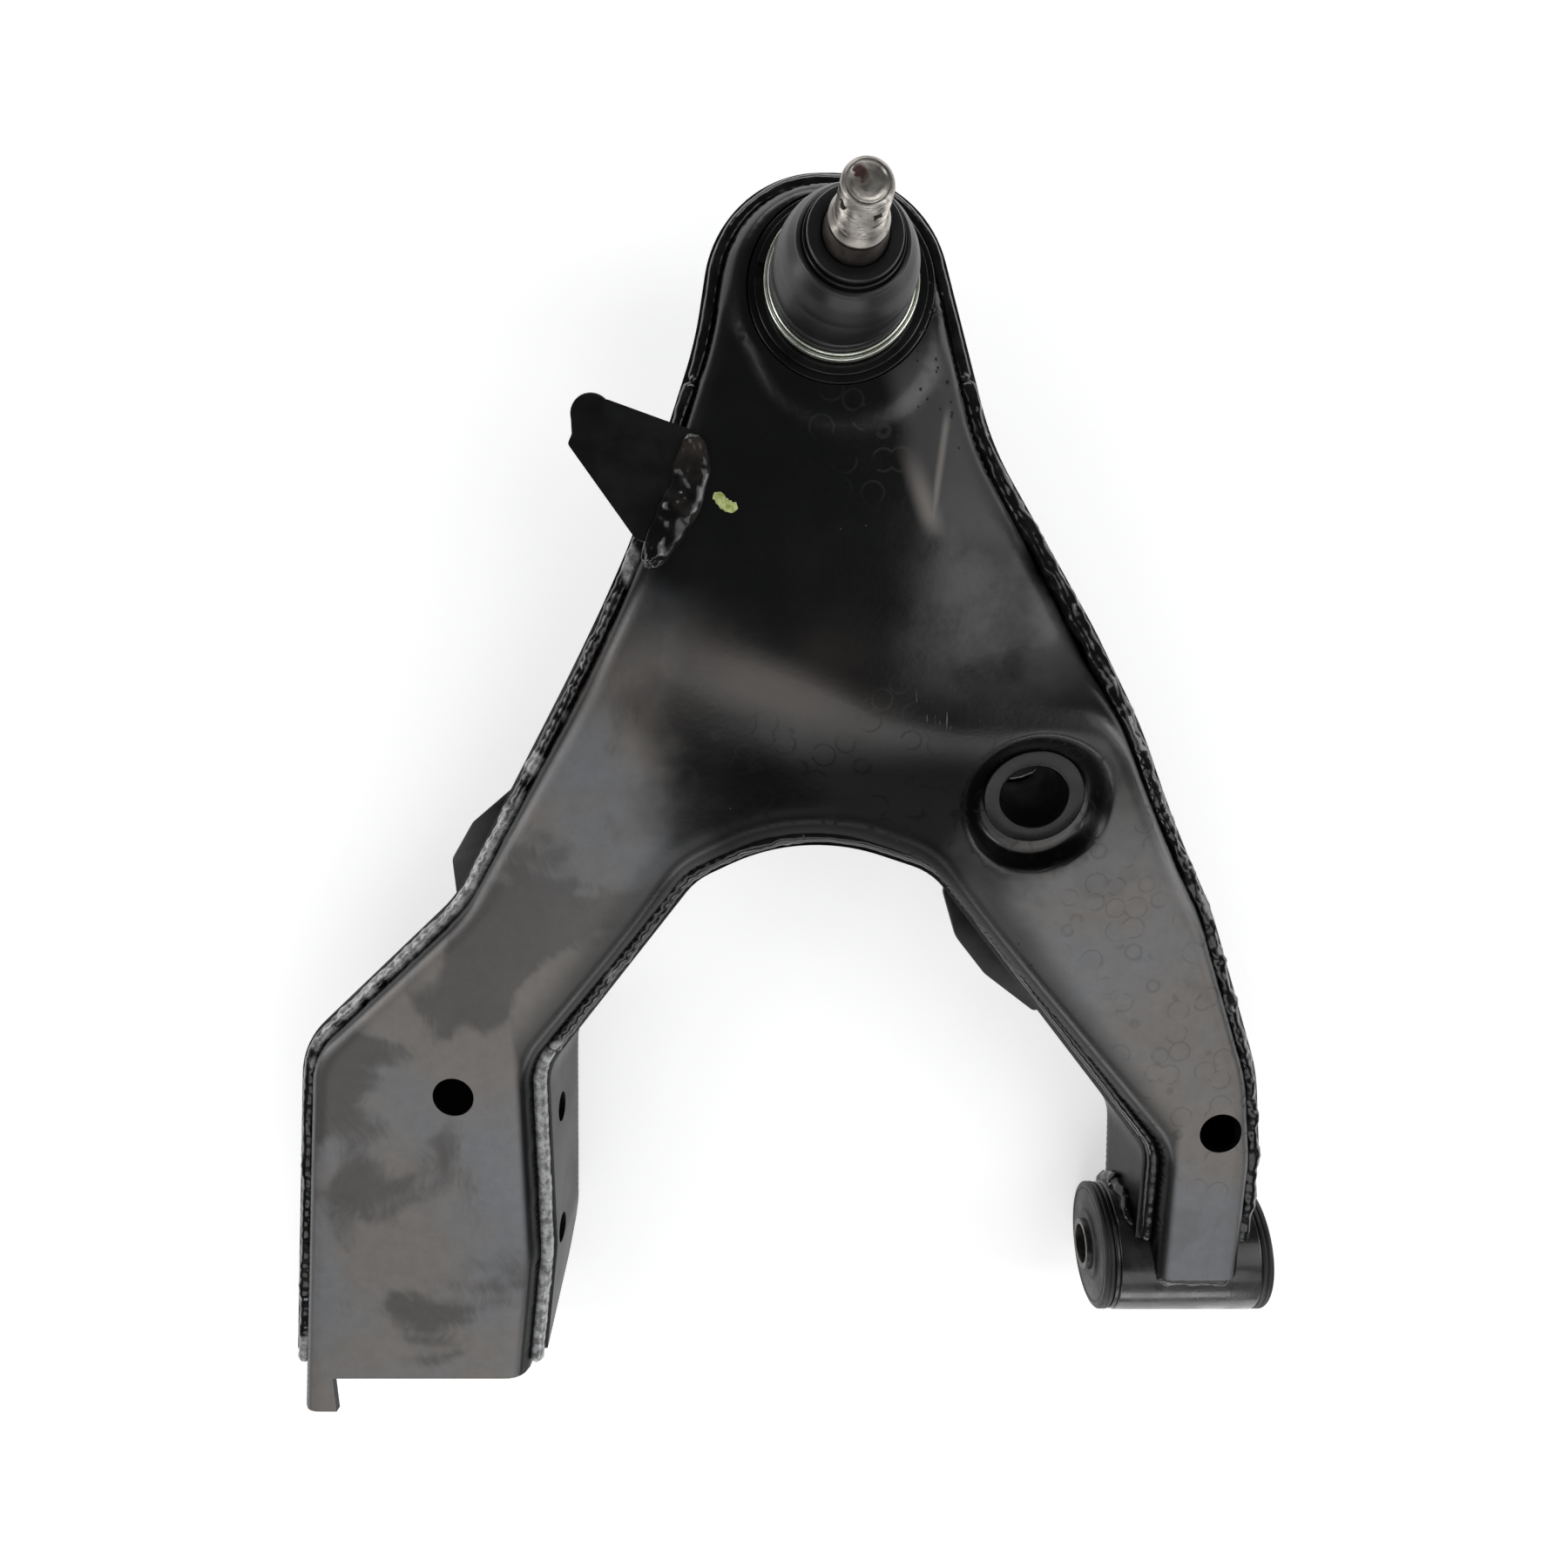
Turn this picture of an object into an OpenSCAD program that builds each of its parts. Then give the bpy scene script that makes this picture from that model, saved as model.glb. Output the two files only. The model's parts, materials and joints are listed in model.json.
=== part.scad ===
// Pressed steel suspension control arm with a ball joint and one pivot bush.
// Millimetres. Origin at the centre of the pivot bush bore, +X along the bore,
// +Y out to the ball joint, +Z up on the stud side.

/* [Layout] */
// Ball centre across from the pivot bush centre
ball_x = -171; // [-175:0.5:-167]
// Ball centre out from the pivot axis
ball_y = 430; // [426:0.5:434]
// Ball centre above the pivot axis
ball_z = 80; // [79:0.5:81]
// Height of the flat joint platform above the pivot axis
platform_z = 84; // [83:0.5:85]
// Height of the leg's top skin above the pivot axis, over the axis
leg_z = 34; // [33.8:0.2:35]
// Slope of the legs' top skin
leg_slope = 8.2; // [7.5:0.1:9]
// Slope of the step from the platform down to the legs
step_slope = 26; // [24:1:28]
// Turn of the step's top bend line in plan
step_turn = -13; // [-15:1:-11]

/* [Shells] */
// Sheet thickness of both shells
sheet = 4; // [3.5:0.1:4.5]
// How far the upper shell's wall stands inside the lower shell's outline
lap_inset = 7; // [6:0.5:8]
// Drop from the top skin to the lower shell's edge
lap_drop = 12; // [11:0.5:14]
// Drop from the top skin to the upper shell's own edge
skirt_drop = 24; // [22:1:28]
// Underside height of the legs
leg_bottom = -29; // [-30:0.5:-28]
// Underside height of the platform
nose_bottom = 50; // [48:0.5:52]

/* [Ball joint] */
// Radius of the housing body where it sits in the seat ring
housing_r = 29; // [28.5:0.1:29.5]
// Outer radius of the seat ring
seat_ring_r = 36; // [35:0.5:37]
// Radius of the ball
ball_r = 17; // [16.5:0.1:17.5]
// Radius of the threaded end of the stud
thread_r = 9; // [8.8:0.1:9.2]
// Height of the stud tip above the ball centre
stud_tip = 72.5; // [71:0.5:75]
// Angle the stud leans from upright at rest
stud_lean = 6.8; // [5:0.1:9]
// Compass direction of that lean, from +X toward +Y
lean_turn = 48; // [35:1:55]

/* [Pivot bush] */
// Outer radius of the tube welded through the right leg
tube_r = 29.5; // [29:0.1:30]
// Length of that tube
tube_len = 67; // [66:1:68]
// Outer radius of the pressed-in sleeve
outer_sleeve_r = 26; // [25.5:0.1:26.5]
// Radius of the bore for the pivot bolt
pivot_bore_r = 9; // [8.5:0.1:9.5]
// Length of the inner sleeve
inner_sleeve_len = 90; // [88:0.5:94]

/* [Left leg] */
// Distance between the two bolt holes
bolt_spacing = 61; // [58:0.5:63]
// Radius of the bolt holes
bolt_r = 7; // [6:0.1:7.5]
// Height of the bolt holes above the pivot axis
bolt_z = 13.5; // [12:0.5:15]

/* [Link collar] */
// Bore radius of the link collar
collar_bore_r = 13.75; // [13:0.05:14.5]
// Radius of the pressed dish around it
dish_r = 26.5; // [25.5:0.5:27.5]
// Depth of that dish
dish_depth = 3.5; // [3:0.5:4]
// Tilt of the collar toward the pivot axis
collar_tilt = 20; // [19:1:21]

/* [Hidden] */

$fn = 96;
fit = 0.05;
far = 700;
ball = [ball_x, ball_y, ball_z];
step_point = [-245, 300];
collar_at = [-88, 232, 65];
left_hole = [-342, 95.5, 9.2];
right_hole = [4, 77.5, 9.6];
bolt_y = 16;
joint_pad_r = 43;
joint_pad_toe = [-169, 415.5, 38];
neck_groove_r = 15.8;
joint_pad_rise = 2;
seat_top = platform_z + joint_pad_rise;
inner_sleeve_r = 11.5;
collar_wall = 3.25;
collar_len = 60;
collar_weld_drop = 54;
bracket_thick = 5;
boss_at = [-268.2, 384.4];
boss_drop = 27;
left_end_y = -53.5;
left_tab_y = -72.5;
left_tab_x = -412;
left_floor_y = 45;
right_inner = -26;
right_outer = 28.4;
right_end_y = 1;

// Outline of the lower shell in plan, clockwise from the left leg's outer end:
// corners as [x, y, fillet radius].
arm_outline = [
    [-439.5, -90, 0], [-412.5, 118, 42], [-337, 188, 60], [-257.5, 328, 300],
    [-228.3, 414.6, 150], [ball_x - 47, ball_y + 48.5, 46], [ball_x + 32.5, ball_y + 48.5, 46],
    [-110, 375, 120], [-67, 302, 200], [-5.2, 181, 150], [22.6, 104, 100],
    [right_outer, 62, 100], [right_outer, -20, 0], [right_inner, -20, 0], [right_inner, 64, 20],
    [-129, 198, 30], [-185, 217, 86], [-232, 194.5, 30], [-301, 106, 25], [-302.5, 12, 60],
    [-317, -90, 0]
];

// ---- plan geometry ------------------------------------------------------

function unit(v) = v / norm(v);
function flat(p) = [p[0], p[1]];
function wrap(angle) = (angle + 540) % 360 - 180;
function around(c, i) = c[(i + len(c)) % len(c)];

// The fillet arc at corner p between its neighbours a and b
function fillet(a, p, b) =
    let (u = unit(flat(a) - flat(p)), w = unit(flat(b) - flat(p)),
         half = acos(u * w) / 2, r = p[2],
         centre = flat(p) + unit(u + w) * r / sin(half),
         from = flat(p) + u * r / tan(half) - centre,
         to = flat(p) + w * r / tan(half) - centre,
         start = atan2(from[1], from[0]),
         sweep = wrap(atan2(to[1], to[0]) - start),
         steps = max(3, ceil(abs(sweep) / 7)))
    [for (i = [0:steps]) centre + r * [cos(start + sweep * i / steps), sin(start + sweep * i / steps)]];

// An outline of corners as plain points with its fillets drawn in
function rounded(c) =
    [for (i = [0:len(c) - 1])
        each c[i][2] > 0 ? fillet(around(c, i - 1), c[i], around(c, i + 1)) : [flat(c[i])]];

// The right-hand normal of the edge from a to b, which points into a clockwise outline
function inward(a, b) = let (e = unit(flat(b) - flat(a))) [e[1], -e[0]];

// The same outline moved inward by d, with each fillet kept concentric
function inset(c, d) =
    [for (i = [0:len(c) - 1])
        let (m = inward(around(c, i - 1), c[i]), n = inward(c[i], around(c, i + 1)),
             p = flat(c[i]) + (m + n) * d / (1 + m * n),
             turn = sign(m[0] * n[1] - m[1] * n[0]))
        [p[0], p[1], c[i][2] > 0 ? max(c[i][2] + d * turn, 0.5) : 0]];

module plan(c) {
    translate([0, 0, -60]) linear_extrude(200) polygon(rounded(c));
}

// Everything from x0 to x1 short of y_end, up to the height given
module end_cut(x0, x1, y_end, height = 200) {
    translate([x0, -120, -60]) cube([x1 - x0, 120 + y_end, height]);
}

// A solid whose YZ section is given, spanning x from x0 to x1
module side_profile(x0, x1, section) {
    translate([x0, 0, 0]) rotate([90, 0, 90]) linear_extrude(x1 - x0) polygon(section);
}

// ---- skins --------------------------------------------------------------

// Everything below the arm's top skin lowered by drop
module under_top(drop) {
    intersection() {
        translate([-500, -150, -150]) cube([far, far, 150 + platform_z - drop]);
        union() {
            translate([0, 0, leg_z - drop]) rotate([leg_slope, 0, 0])
                translate([-500, -200, -300]) cube([far, far, 300]);
            translate([step_point[0], step_point[1], platform_z - drop]) rotate([0, 0, step_turn])
                rotate([step_slope, 0, 0]) translate([-far / 2, -far / 2, -300])
                    cube([far, far, 300]);
        }
    }
}

// Everything below the arm's underside raised by rise
module under_bottom(rise) {
    side_profile(-500, 100, [[-120, -150], [-120, leg_bottom + rise], [120, leg_bottom + rise],
                             [330, nose_bottom + rise], [520, nose_bottom + rise], [520, -150]]);
}

// The rising lower edge and the oblique end of the left leg
module left_leg_end() {
    side_profile(-500, -240, [[-120, -150], [-120, 70], [left_end_y, 70], [left_end_y, 25],
                              [-50, 20], [-14, -14], [6, -24], [26, leg_bottom],
                              [26, -150]]);
}

module tube_space() {
    translate([-60, 0, 0]) rotate([0, 90, 0]) cylinder(h = 120, r = tube_r);
}

module bolt_holes() {
    for (i = [0:1])
        translate([-470, bolt_y + i * bolt_spacing, bolt_z]) rotate([0, 90, 0])
            cylinder(h = 200, r = bolt_r);
}

module at_collar() {
    translate(collar_at) rotate([collar_tilt, 0, 0]) children();
}

module upper_shell() {
    wall = inset(arm_outline, lap_inset);
    color("#33353a") difference() {
        union() {
            difference() {
                intersection() {
                    plan(wall);
                    under_top(0);
                }
                intersection() {
                    plan(inset(wall, sheet));
                    under_top(sheet);
                }
                under_top(skirt_drop);
            }
            intersection() {
                plan(wall);
                for (pad = [[ball_x, ball_y, joint_pad_r], joint_pad_toe])
                    translate([pad[0], pad[1], platform_z - sheet])
                        cylinder(h = sheet + joint_pad_rise, r = pad[2]);
            }
            intersection() {
                at_collar() translate([0, 0, -dish_depth - sheet])
                    cylinder(h = 2 * sheet + dish_depth, r = dish_r + sheet / 2);
                under_top(0);
            }
        }
        translate([ball_x, ball_y, 0]) cylinder(h = 200, r = seat_ring_r);
        at_collar() translate([0, 0, -dish_depth]) cylinder(h = 30, r = dish_r);
        at_collar() translate([0, 0, -40]) cylinder(h = 80, r = collar_bore_r + collar_wall);
        for (hole = [left_hole, right_hole])
            translate([hole[0], hole[1], leg_z + hole[1] * tan(leg_slope)]) rotate([leg_slope, 0, 0])
                cylinder(h = 30, r = hole[2], center = true);
        end_cut(-500, left_tab_x, left_tab_y);
        end_cut(left_tab_x, -200, left_end_y);
        end_cut(-100, 100, right_end_y);
        tube_space();
        bolt_holes();
    }
}

module lower_shell() {
    color("#1d1f22") difference() {
        intersection() {
            plan(arm_outline);
            under_top(lap_drop);
        }
        under_bottom(0);
        difference() {
            plan(inset(arm_outline, sheet));
            under_bottom(sheet);
        }
        left_leg_end();
        intersection() {
            plan(inset(arm_outline, sheet));
            end_cut(-500, -260, left_floor_y, 60);
        }
        end_cut(-100, 100, right_end_y);
        tube_space();
        bolt_holes();
        translate([ball_x, ball_y, 0]) cylinder(h = 120, r = seat_ring_r);
        at_collar() translate([0, 0, -80]) cylinder(h = 100, r = collar_bore_r + collar_wall);
    }
}

// ---- seam welds ---------------------------------------------------------

// The fillet bead that runs on the lower shell's edge, against the upper shell's wall
module seam_bead() {
    difference() {
        intersection() {
            plan(inset(arm_outline, 1));
            under_top(lap_drop - 5);
        }
        plan(inset(arm_outline, lap_inset));
        under_top(lap_drop);
        end_cut(-500, -200, left_end_y);
        end_cut(-100, 100, right_end_y);
        tube_space();
    }
}

// Part of the seam: the stretch inside a plan region
module seam_part(region) {
    color("#4a4c50") intersection() {
        seam_bead();
        translate([0, 0, -60]) linear_extrude(200) polygon(region);
    }
}

module weld_nose() {
    seam_part([[-300, 400], [-300, 520], [0, 520], [0, 400]]);
}

module weld_left() {
    seam_part([[-480, -100], [-360, -100], [-360, 120], [-175, 300], [-175, 400], [-480, 400]]);
}

module weld_right() {
    seam_part([[60, -100], [0, -100], [0, 100], [-175, 300], [-175, 400], [60, 400]]);
}

module weld_arch() {
    seam_part([[-360, -100], [-360, 120], [-175, 300], [0, 100], [0, -100]]);
}

// ---- ball joint ---------------------------------------------------------

module at_joint() {
    translate(ball) children();
}

// The stud's own frame, leaning from upright at rest
module at_stud() {
    at_joint() rotate([0, 0, lean_turn]) rotate([0, stud_lean, 0]) rotate([0, 0, -lean_turn])
        children();
}

module joint_seat_ring() {
    color("#26282b") translate([ball_x, ball_y, nose_bottom - 3]) difference() {
        cylinder(h = seat_top - nose_bottom + 3, r = seat_ring_r);
        translate([0, 0, -1]) cylinder(h = 80, r = housing_r);
    }
}

module weld_seat_ring() {
    color("#4a4c50") translate([ball_x, ball_y, nose_bottom]) rotate([180, 0, 0])
        rotate_extrude() polygon([[seat_ring_r, 0], [seat_ring_r + 5, 0], [seat_ring_r, 3]]);
}

module joint_housing() {
    flange_z = nose_bottom - 3 - ball_z;
    top = 11;
    color("#2b2d30") at_joint() rotate_extrude() polygon([
        [21, flange_z - 4], [34, flange_z - 4], [34, flange_z], [housing_r, flange_z],
        [housing_r, 6.2], [27.4, 6.2], [27.4, 8.2], [housing_r - 0.2, 8.2], [housing_r - 0.2, 9.8],
        [24.4, 9.8], [24.4, 14.6], [22.6, 14.6], [22.6, top], [19, top - 4], [19, top - 6],
        [21, top - 6]]);
}

module joint_base_cap() {
    color("#2b2d30") translate([ball_x, ball_y, nose_bottom - 7]) difference() {
        cylinder(h = 5, r = 21);
        translate([0, 0, -1]) cylinder(h = 2.2, r1 = 15, r2 = 12.5);
    }
}

module ball_seat() {
    low = nose_bottom - 2 - ball_z;
    color("#d8d4c4") at_joint() difference() {
        translate([0, 0, low]) cylinder(h = 5 - low, r = 21);
        sphere(r = ball_r + fit);
        cylinder(h = 30, r1 = ball_r - 0.6, r2 = ball_r + 2);
        translate([0, 0, low - 1]) cylinder(h = 30, r = 8);
    }
}

module housing_circlip() {
    color("#141517") at_joint() difference() {
        translate([0, 0, 6.3]) cylinder(h = 1.8, r = 33);
        translate([0, 0, 5]) cylinder(h = 5, r = 27.5);
        translate([-40, -2, 5]) rotate([0, 0, -13]) cube([30, 6, 5]);
    }
}

module ball_stud() {
    color("#b8b2a6") at_stud() difference() {
        union() {
            sphere(r = ball_r);
            rotate_extrude() polygon([
                [0, 10], [9.2, 10], [9.2, 22], [12.2, 28], [11.6, 38], [11.6, 44.7], [10.6, 51.5],
                [10.4, 52.5], [thread_r, 54.9], [thread_r, stud_tip - 1.8],
                [thread_r - 1.5, stud_tip], [0, stud_tip]]);
        }
        translate([0, 0, stud_tip - 1.6]) cylinder(h = 5, r1 = 5.2, r2 = 9.4);
        for (turn = [29, -61])
            translate([0, 0, stud_tip - 6]) rotate([90, 0, turn])
                cylinder(h = 40, r = 1.9, center = true);
    }
}

// Section of the boot's leaning upper part, from the shoulder to the neck
module boot_dome(r_low, r_mid, z_mid, r_neck, z_neck, z_low) {
    at_stud() rotate_extrude() polygon([
        [0, z_low], [r_low, z_low], [r_low - 0.3, z_low + 3], [r_mid, z_mid], [r_neck, z_neck],
        [0, z_neck]]);
}

module dust_boot() {
    color("#202124") difference() {
        union() {
            at_joint() translate([0, 0, 9.9]) cylinder(h = 5, r = 26.1);
            at_joint() translate([0, 0, 14.9]) cylinder(h = 8, r = 26.6);
            boot_dome(26.2, 24.8, 31, 20, 38.5, 20);
            at_stud() translate([0, 0, 37.5]) cylinder(h = 6, r = neck_groove_r + 1.2);
        }
        at_joint() cylinder(h = 14.9, r = 24.5);
        at_joint() translate([0, 0, 14]) cylinder(h = 7.5, r = 24.4);
        boot_dome(24, 22.6, 29.6, 18, 36.5, 17);
        at_stud() cylinder(h = 60, r = 11.7);
        at_stud() difference() {
            translate([0, 0, 39.7]) cylinder(h = 2.4, r = 30);
            translate([0, 0, 38]) cylinder(h = 8, r = neck_groove_r);
        }
    }
}

module boot_clip_ring() {
    color("#b9a968") at_joint() difference() {
        translate([0, 0, 10]) cylinder(h = 4.4, r = 29);
        translate([0, 0, 9]) cylinder(h = 8, r = 26.15);
    }
}

module boot_neck_ring() {
    color("#17181a") at_stud() difference() {
        translate([0, 0, 39.8]) cylinder(h = 2.2, r = neck_groove_r + 2.6);
        translate([0, 0, 39]) cylinder(h = 8, r = neck_groove_r + fit);
    }
}

// ---- stop bracket -------------------------------------------------------

bracket_outline = [
    [-222, 375.5, 0], [-239, 380.5, 5], [-261, 388, 3], [-266.5, 390.5, 4], [-275, 386, 5],
    [-275.5, 371.5, 2], [-251, 337, 3], [-231, 330, 0]
];

module stop_bracket() {
    color("#111214") difference() {
        translate([0, 0, platform_z - bracket_thick])
            linear_extrude(bracket_thick) polygon(rounded(bracket_outline));
        plan(inset(arm_outline, lap_inset));
    }
}

module stop_boss() {
    color("#111214") translate([boss_at[0], boss_at[1], platform_z - boss_drop]) difference() {
        cylinder(h = boss_drop - bracket_thick, r = 8.2);
        translate([0, 0, -1]) cylinder(h = 2.5, r1 = 5, r2 = 3);
    }
}

module weld_stop_bracket() {
    color("#2a2b2e") intersection() {
        translate([0, 0, platform_z]) linear_extrude(3.4) polygon(rounded([
            [-247, 325, 3], [-252, 336, 3], [-242, 360, 20], [-238, 378, 3], [-229, 374, 6],
            [-223, 358, 8], [-233, 338, 12]]));
        weld_crown();
    }
}

// A long round-backed bar that the bracket weld's crown is cut from
module weld_crown() {
    translate([-254, 322, platform_z - 3.2]) rotate([0, 0, 67]) rotate([0, 90, 0])
        translate([0, -8, 0]) cylinder(h = 75, r = 12);
}

// ---- link collar --------------------------------------------------------

module link_collar() {
    color("#3a3c40") at_collar() difference() {
        union() {
            translate([0, 0, -dish_depth]) cylinder(h = 2.4, r = 21.2);
            translate([0, 0, -collar_len])
                cylinder(h = collar_len - dish_depth, r = collar_bore_r + collar_wall);
        }
        translate([0, 0, -80]) cylinder(h = 100, r = collar_bore_r);
    }
}

module weld_link_collar() {
    color("#4a4c50") difference() {
        at_collar() translate([0, 0, -collar_weld_drop])
            cylinder(h = 20, r = collar_bore_r + collar_wall + 3.75);
        at_collar() translate([0, 0, -80]) cylinder(h = 100, r = collar_bore_r + collar_wall);
        difference() {
            translate([-200, 150, -60]) cube([200, 200, 200]);
            under_bottom(0);
        }
    }
}

// ---- pivot bush ---------------------------------------------------------

// A solid of revolution about the pivot axis, from points of [x, radius]
module on_pivot(section) {
    rotate([0, 90, 0]) rotate_extrude() polygon([for (p = section) [p[1], p[0]]]);
}

module bush_tube() {
    half = tube_len / 2;
    edge = 0.8;
    color("#2c2e31") on_pivot([
        [-half, outer_sleeve_r], [-half, tube_r - edge], [-half + edge, tube_r],
        [half - edge, tube_r], [half, tube_r - edge], [half, outer_sleeve_r]]);
}

module bush_outer_sleeve() {
    half = tube_len / 2;
    color("#3a3c40") on_pivot([[half, outer_sleeve_r - 1.6], [half, outer_sleeve_r],
        [-half, outer_sleeve_r], [-half, tube_r - 0.4], [-half - 2.2, tube_r - 0.4],
        [-half - 2.2, outer_sleeve_r - 1.6]]);
}

module bush_rubber() {
    half = tube_len / 2;
    bore = inner_sleeve_r + fit;
    wall = outer_sleeve_r - 1.6;
    color("#1c1c1e") on_pivot([
        [-half - 9, bore], [-half - 9, 16], [-half - 7.6, 16.8], [-half - 7.6, 28.3],
        [-half - 6.6, 29.3], [-half - 3.4, 29.3], [-half - 2.2, 28.1], [-half - 2.2, wall],
        [half, wall], [half, 28.1], [half + 1.2, 29.3], [half + 5, 29.3], [half + 6, 28.3],
        [half + 6, 16.8], [half + 7.6, 16], [half + 7.6, bore]]);
}

module bush_inner_sleeve() {
    half = inner_sleeve_len / 2;
    edge = 0.4;
    color("#77787a") on_pivot([
        [-half, pivot_bore_r + edge], [-half, inner_sleeve_r - edge],
        [-half + edge, inner_sleeve_r], [half - edge, inner_sleeve_r],
        [half, inner_sleeve_r - edge], [half, pivot_bore_r + edge],
        [half - edge, pivot_bore_r], [-half + edge, pivot_bore_r]]);
}

// A fillet ring on the tube beside one wall of the lower shell; side is -1 or 1
module tube_ring_weld(x, side) {
    color("#4a4c50") difference() {
        rotate([0, 90, 0]) rotate_extrude() polygon([
            [tube_r, x], [tube_r + 4.5, x], [tube_r, x + side * 4.5]]);
        translate([-100, -100, 16]) cube([200, 200, 60]);
        translate([-100, -100, leg_bottom - 99]) cube([200, 200, 100]);
        translate([-100, -100, -100]) cube([200, 100 + right_end_y, 200]);
    }
}

module weld_tube_inner() {
    tube_ring_weld(right_inner, -1);
}

module weld_tube_outer() {
    tube_ring_weld(right_outer, 1);
}

module weld_tube_end() {
    color("#4a4c50") difference() {
        translate([-17, 0, 0]) rotate([0, 90, 0]) cylinder(h = 36, r = tube_r + 3.4);
        translate([-60, -60, -60]) cube([120, 60 + right_end_y - 4.5, 120]);
        translate([-60, right_end_y, -60]) cube([120, 120, 120]);
        translate([-60, -60, -60]) cube([120, 120, 60]);
        tube_space();
    }
}

// ---- underside brace ----------------------------------------------------

module left_brace_lip() {
    color("#1d1f22") difference() {
        translate([0, 0, 22]) linear_extrude(sheet) polygon(rounded([
            [-317, 234, 4], [-311, 238, 0], [-295, 220, 0], [-329, 176, 0], [-345, 180, 4],
            [-347, 200, 5], [-337, 217, 6]]));
        plan(arm_outline);
    }
}

module arch_brace_lip() {
    color("#1d1f22") difference() {
        translate([0, 0, 8]) linear_extrude(sheet) polygon(rounded([
            [-119, 184, 4], [-107, 190, 0], [-65, 140, 0], [-72, 122, 3], [-98, 142, 14],
            [-112, 160, 14]]));
        plan(arm_outline);
    }
}

// ---- nodes --------------------------------------------------------------

upper_shell();
lower_shell();
weld_nose();
weld_left();
weld_right();
weld_arch();
joint_seat_ring();
weld_seat_ring();
joint_housing();
joint_base_cap();
ball_seat();
housing_circlip();
ball_stud();
dust_boot();
boot_clip_ring();
boot_neck_ring();
stop_bracket();
stop_boss();
weld_stop_bracket();
link_collar();
weld_link_collar();
bush_tube();
bush_outer_sleeve();
bush_rubber();
bush_inner_sleeve();
weld_tube_inner();
weld_tube_outer();
weld_tube_end();
left_brace_lip();
arch_brace_lip();
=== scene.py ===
import json
import math
import random

import bmesh
import bpy
import numpy as np
from mathutils import Matrix, Vector, noise
from mathutils.geometry import delaunay_2d_cdt


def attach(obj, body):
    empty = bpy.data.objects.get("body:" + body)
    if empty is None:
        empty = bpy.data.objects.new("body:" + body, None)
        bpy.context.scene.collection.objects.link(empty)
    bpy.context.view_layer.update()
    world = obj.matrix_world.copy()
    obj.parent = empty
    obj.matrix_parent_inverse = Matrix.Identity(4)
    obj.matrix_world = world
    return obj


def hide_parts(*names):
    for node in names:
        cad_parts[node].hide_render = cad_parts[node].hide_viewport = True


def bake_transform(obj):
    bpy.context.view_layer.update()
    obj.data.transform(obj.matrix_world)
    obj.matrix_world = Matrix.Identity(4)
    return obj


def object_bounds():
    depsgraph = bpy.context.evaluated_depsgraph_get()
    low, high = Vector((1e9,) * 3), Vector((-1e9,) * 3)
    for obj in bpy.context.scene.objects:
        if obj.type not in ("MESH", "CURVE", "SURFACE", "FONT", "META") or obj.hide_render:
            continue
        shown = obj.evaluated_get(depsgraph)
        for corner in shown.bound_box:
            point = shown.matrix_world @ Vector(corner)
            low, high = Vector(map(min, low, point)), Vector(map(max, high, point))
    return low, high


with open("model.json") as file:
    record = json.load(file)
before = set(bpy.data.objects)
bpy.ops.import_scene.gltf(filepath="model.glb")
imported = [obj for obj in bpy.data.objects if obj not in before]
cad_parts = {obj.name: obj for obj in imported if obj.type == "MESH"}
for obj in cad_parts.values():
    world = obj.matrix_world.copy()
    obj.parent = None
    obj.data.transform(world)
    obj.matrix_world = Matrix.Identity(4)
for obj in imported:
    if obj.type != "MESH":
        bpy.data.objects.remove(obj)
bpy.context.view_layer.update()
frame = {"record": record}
random.seed(7)

# All shape numbers below are millimetres in the CAD frame; MM turns them into metres.
MM = 0.001


# ---- layout, as in the part's source ----

BALL = Vector(frame["record"]["behaviour"]["joints"][0]["pos_m"]) / MM
STUD_AXIS = Vector(next(m for m in frame["record"]["mounts"] if m["name"] == "stud_thread")["axis"])
PLATFORM_Z = 84.0
LEG_Z = 34.0
LEG_SLOPE = math.tan(math.radians(8.2))
STEP_SLOPE = math.tan(math.radians(26))
SHEET = 3.6
LAP_INSET = 7.0
LAP_DROP = 12.0
SKIRT_DROP = 24.0
LEG_BOTTOM = -29.0
NOSE_BOTTOM = 50.0
COLLAR = Vector((-88, 232, 65))
COLLAR_TILT = math.radians(20)
COLLAR_N = Vector((0, -math.sin(COLLAR_TILT), math.cos(COLLAR_TILT)))
TUBE_R = 29.5
INNER_X, OUTER_X = -26.0, 28.4
OUTLINE = [
    (-439.5, -90, 0), (-412.5, 118, 42), (-337, 188, 60), (-257.5, 328, 300), (-228.3, 414.6, 150),
    (-218, 478.5, 46), (-138.5, 478.5, 46), (-110, 375, 120), (-67, 302, 200), (-5.2, 181, 150),
    (22.6, 104, 100), (OUTER_X, 62, 100), (OUTER_X, -20, 0), (INNER_X, -20, 0), (INNER_X, 64, 20),
    (-129, 198, 30), (-185, 217, 86), (-232, 194.5, 30), (-301, 106, 25), (-302.5, 12, 60),
    (-317, -90, 0),
]
BOLTS = [(16.0, 13.5), (77.0, 13.5)]
LEFT_HOLE = (-342, 95.5, 9.2)
RIGHT_HOLE = (4, 77.5, 9.6)
# the left leg's box is open below up to here
LEFT_FLOOR_Y = 45
# the raised pad round the joint: its two circles and its height
PAD_R, PAD_RISE = 43, 2.2
PAD_TOE, PAD_TOE_R = (-169, 415.5), 38
# depth of the dish's floor below the collar's origin, along its axis
DISH_SINK = 3.6


# ---- plan outline ----

def unit(v):
    return v / max(np.linalg.norm(v), 1e-9)


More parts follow.
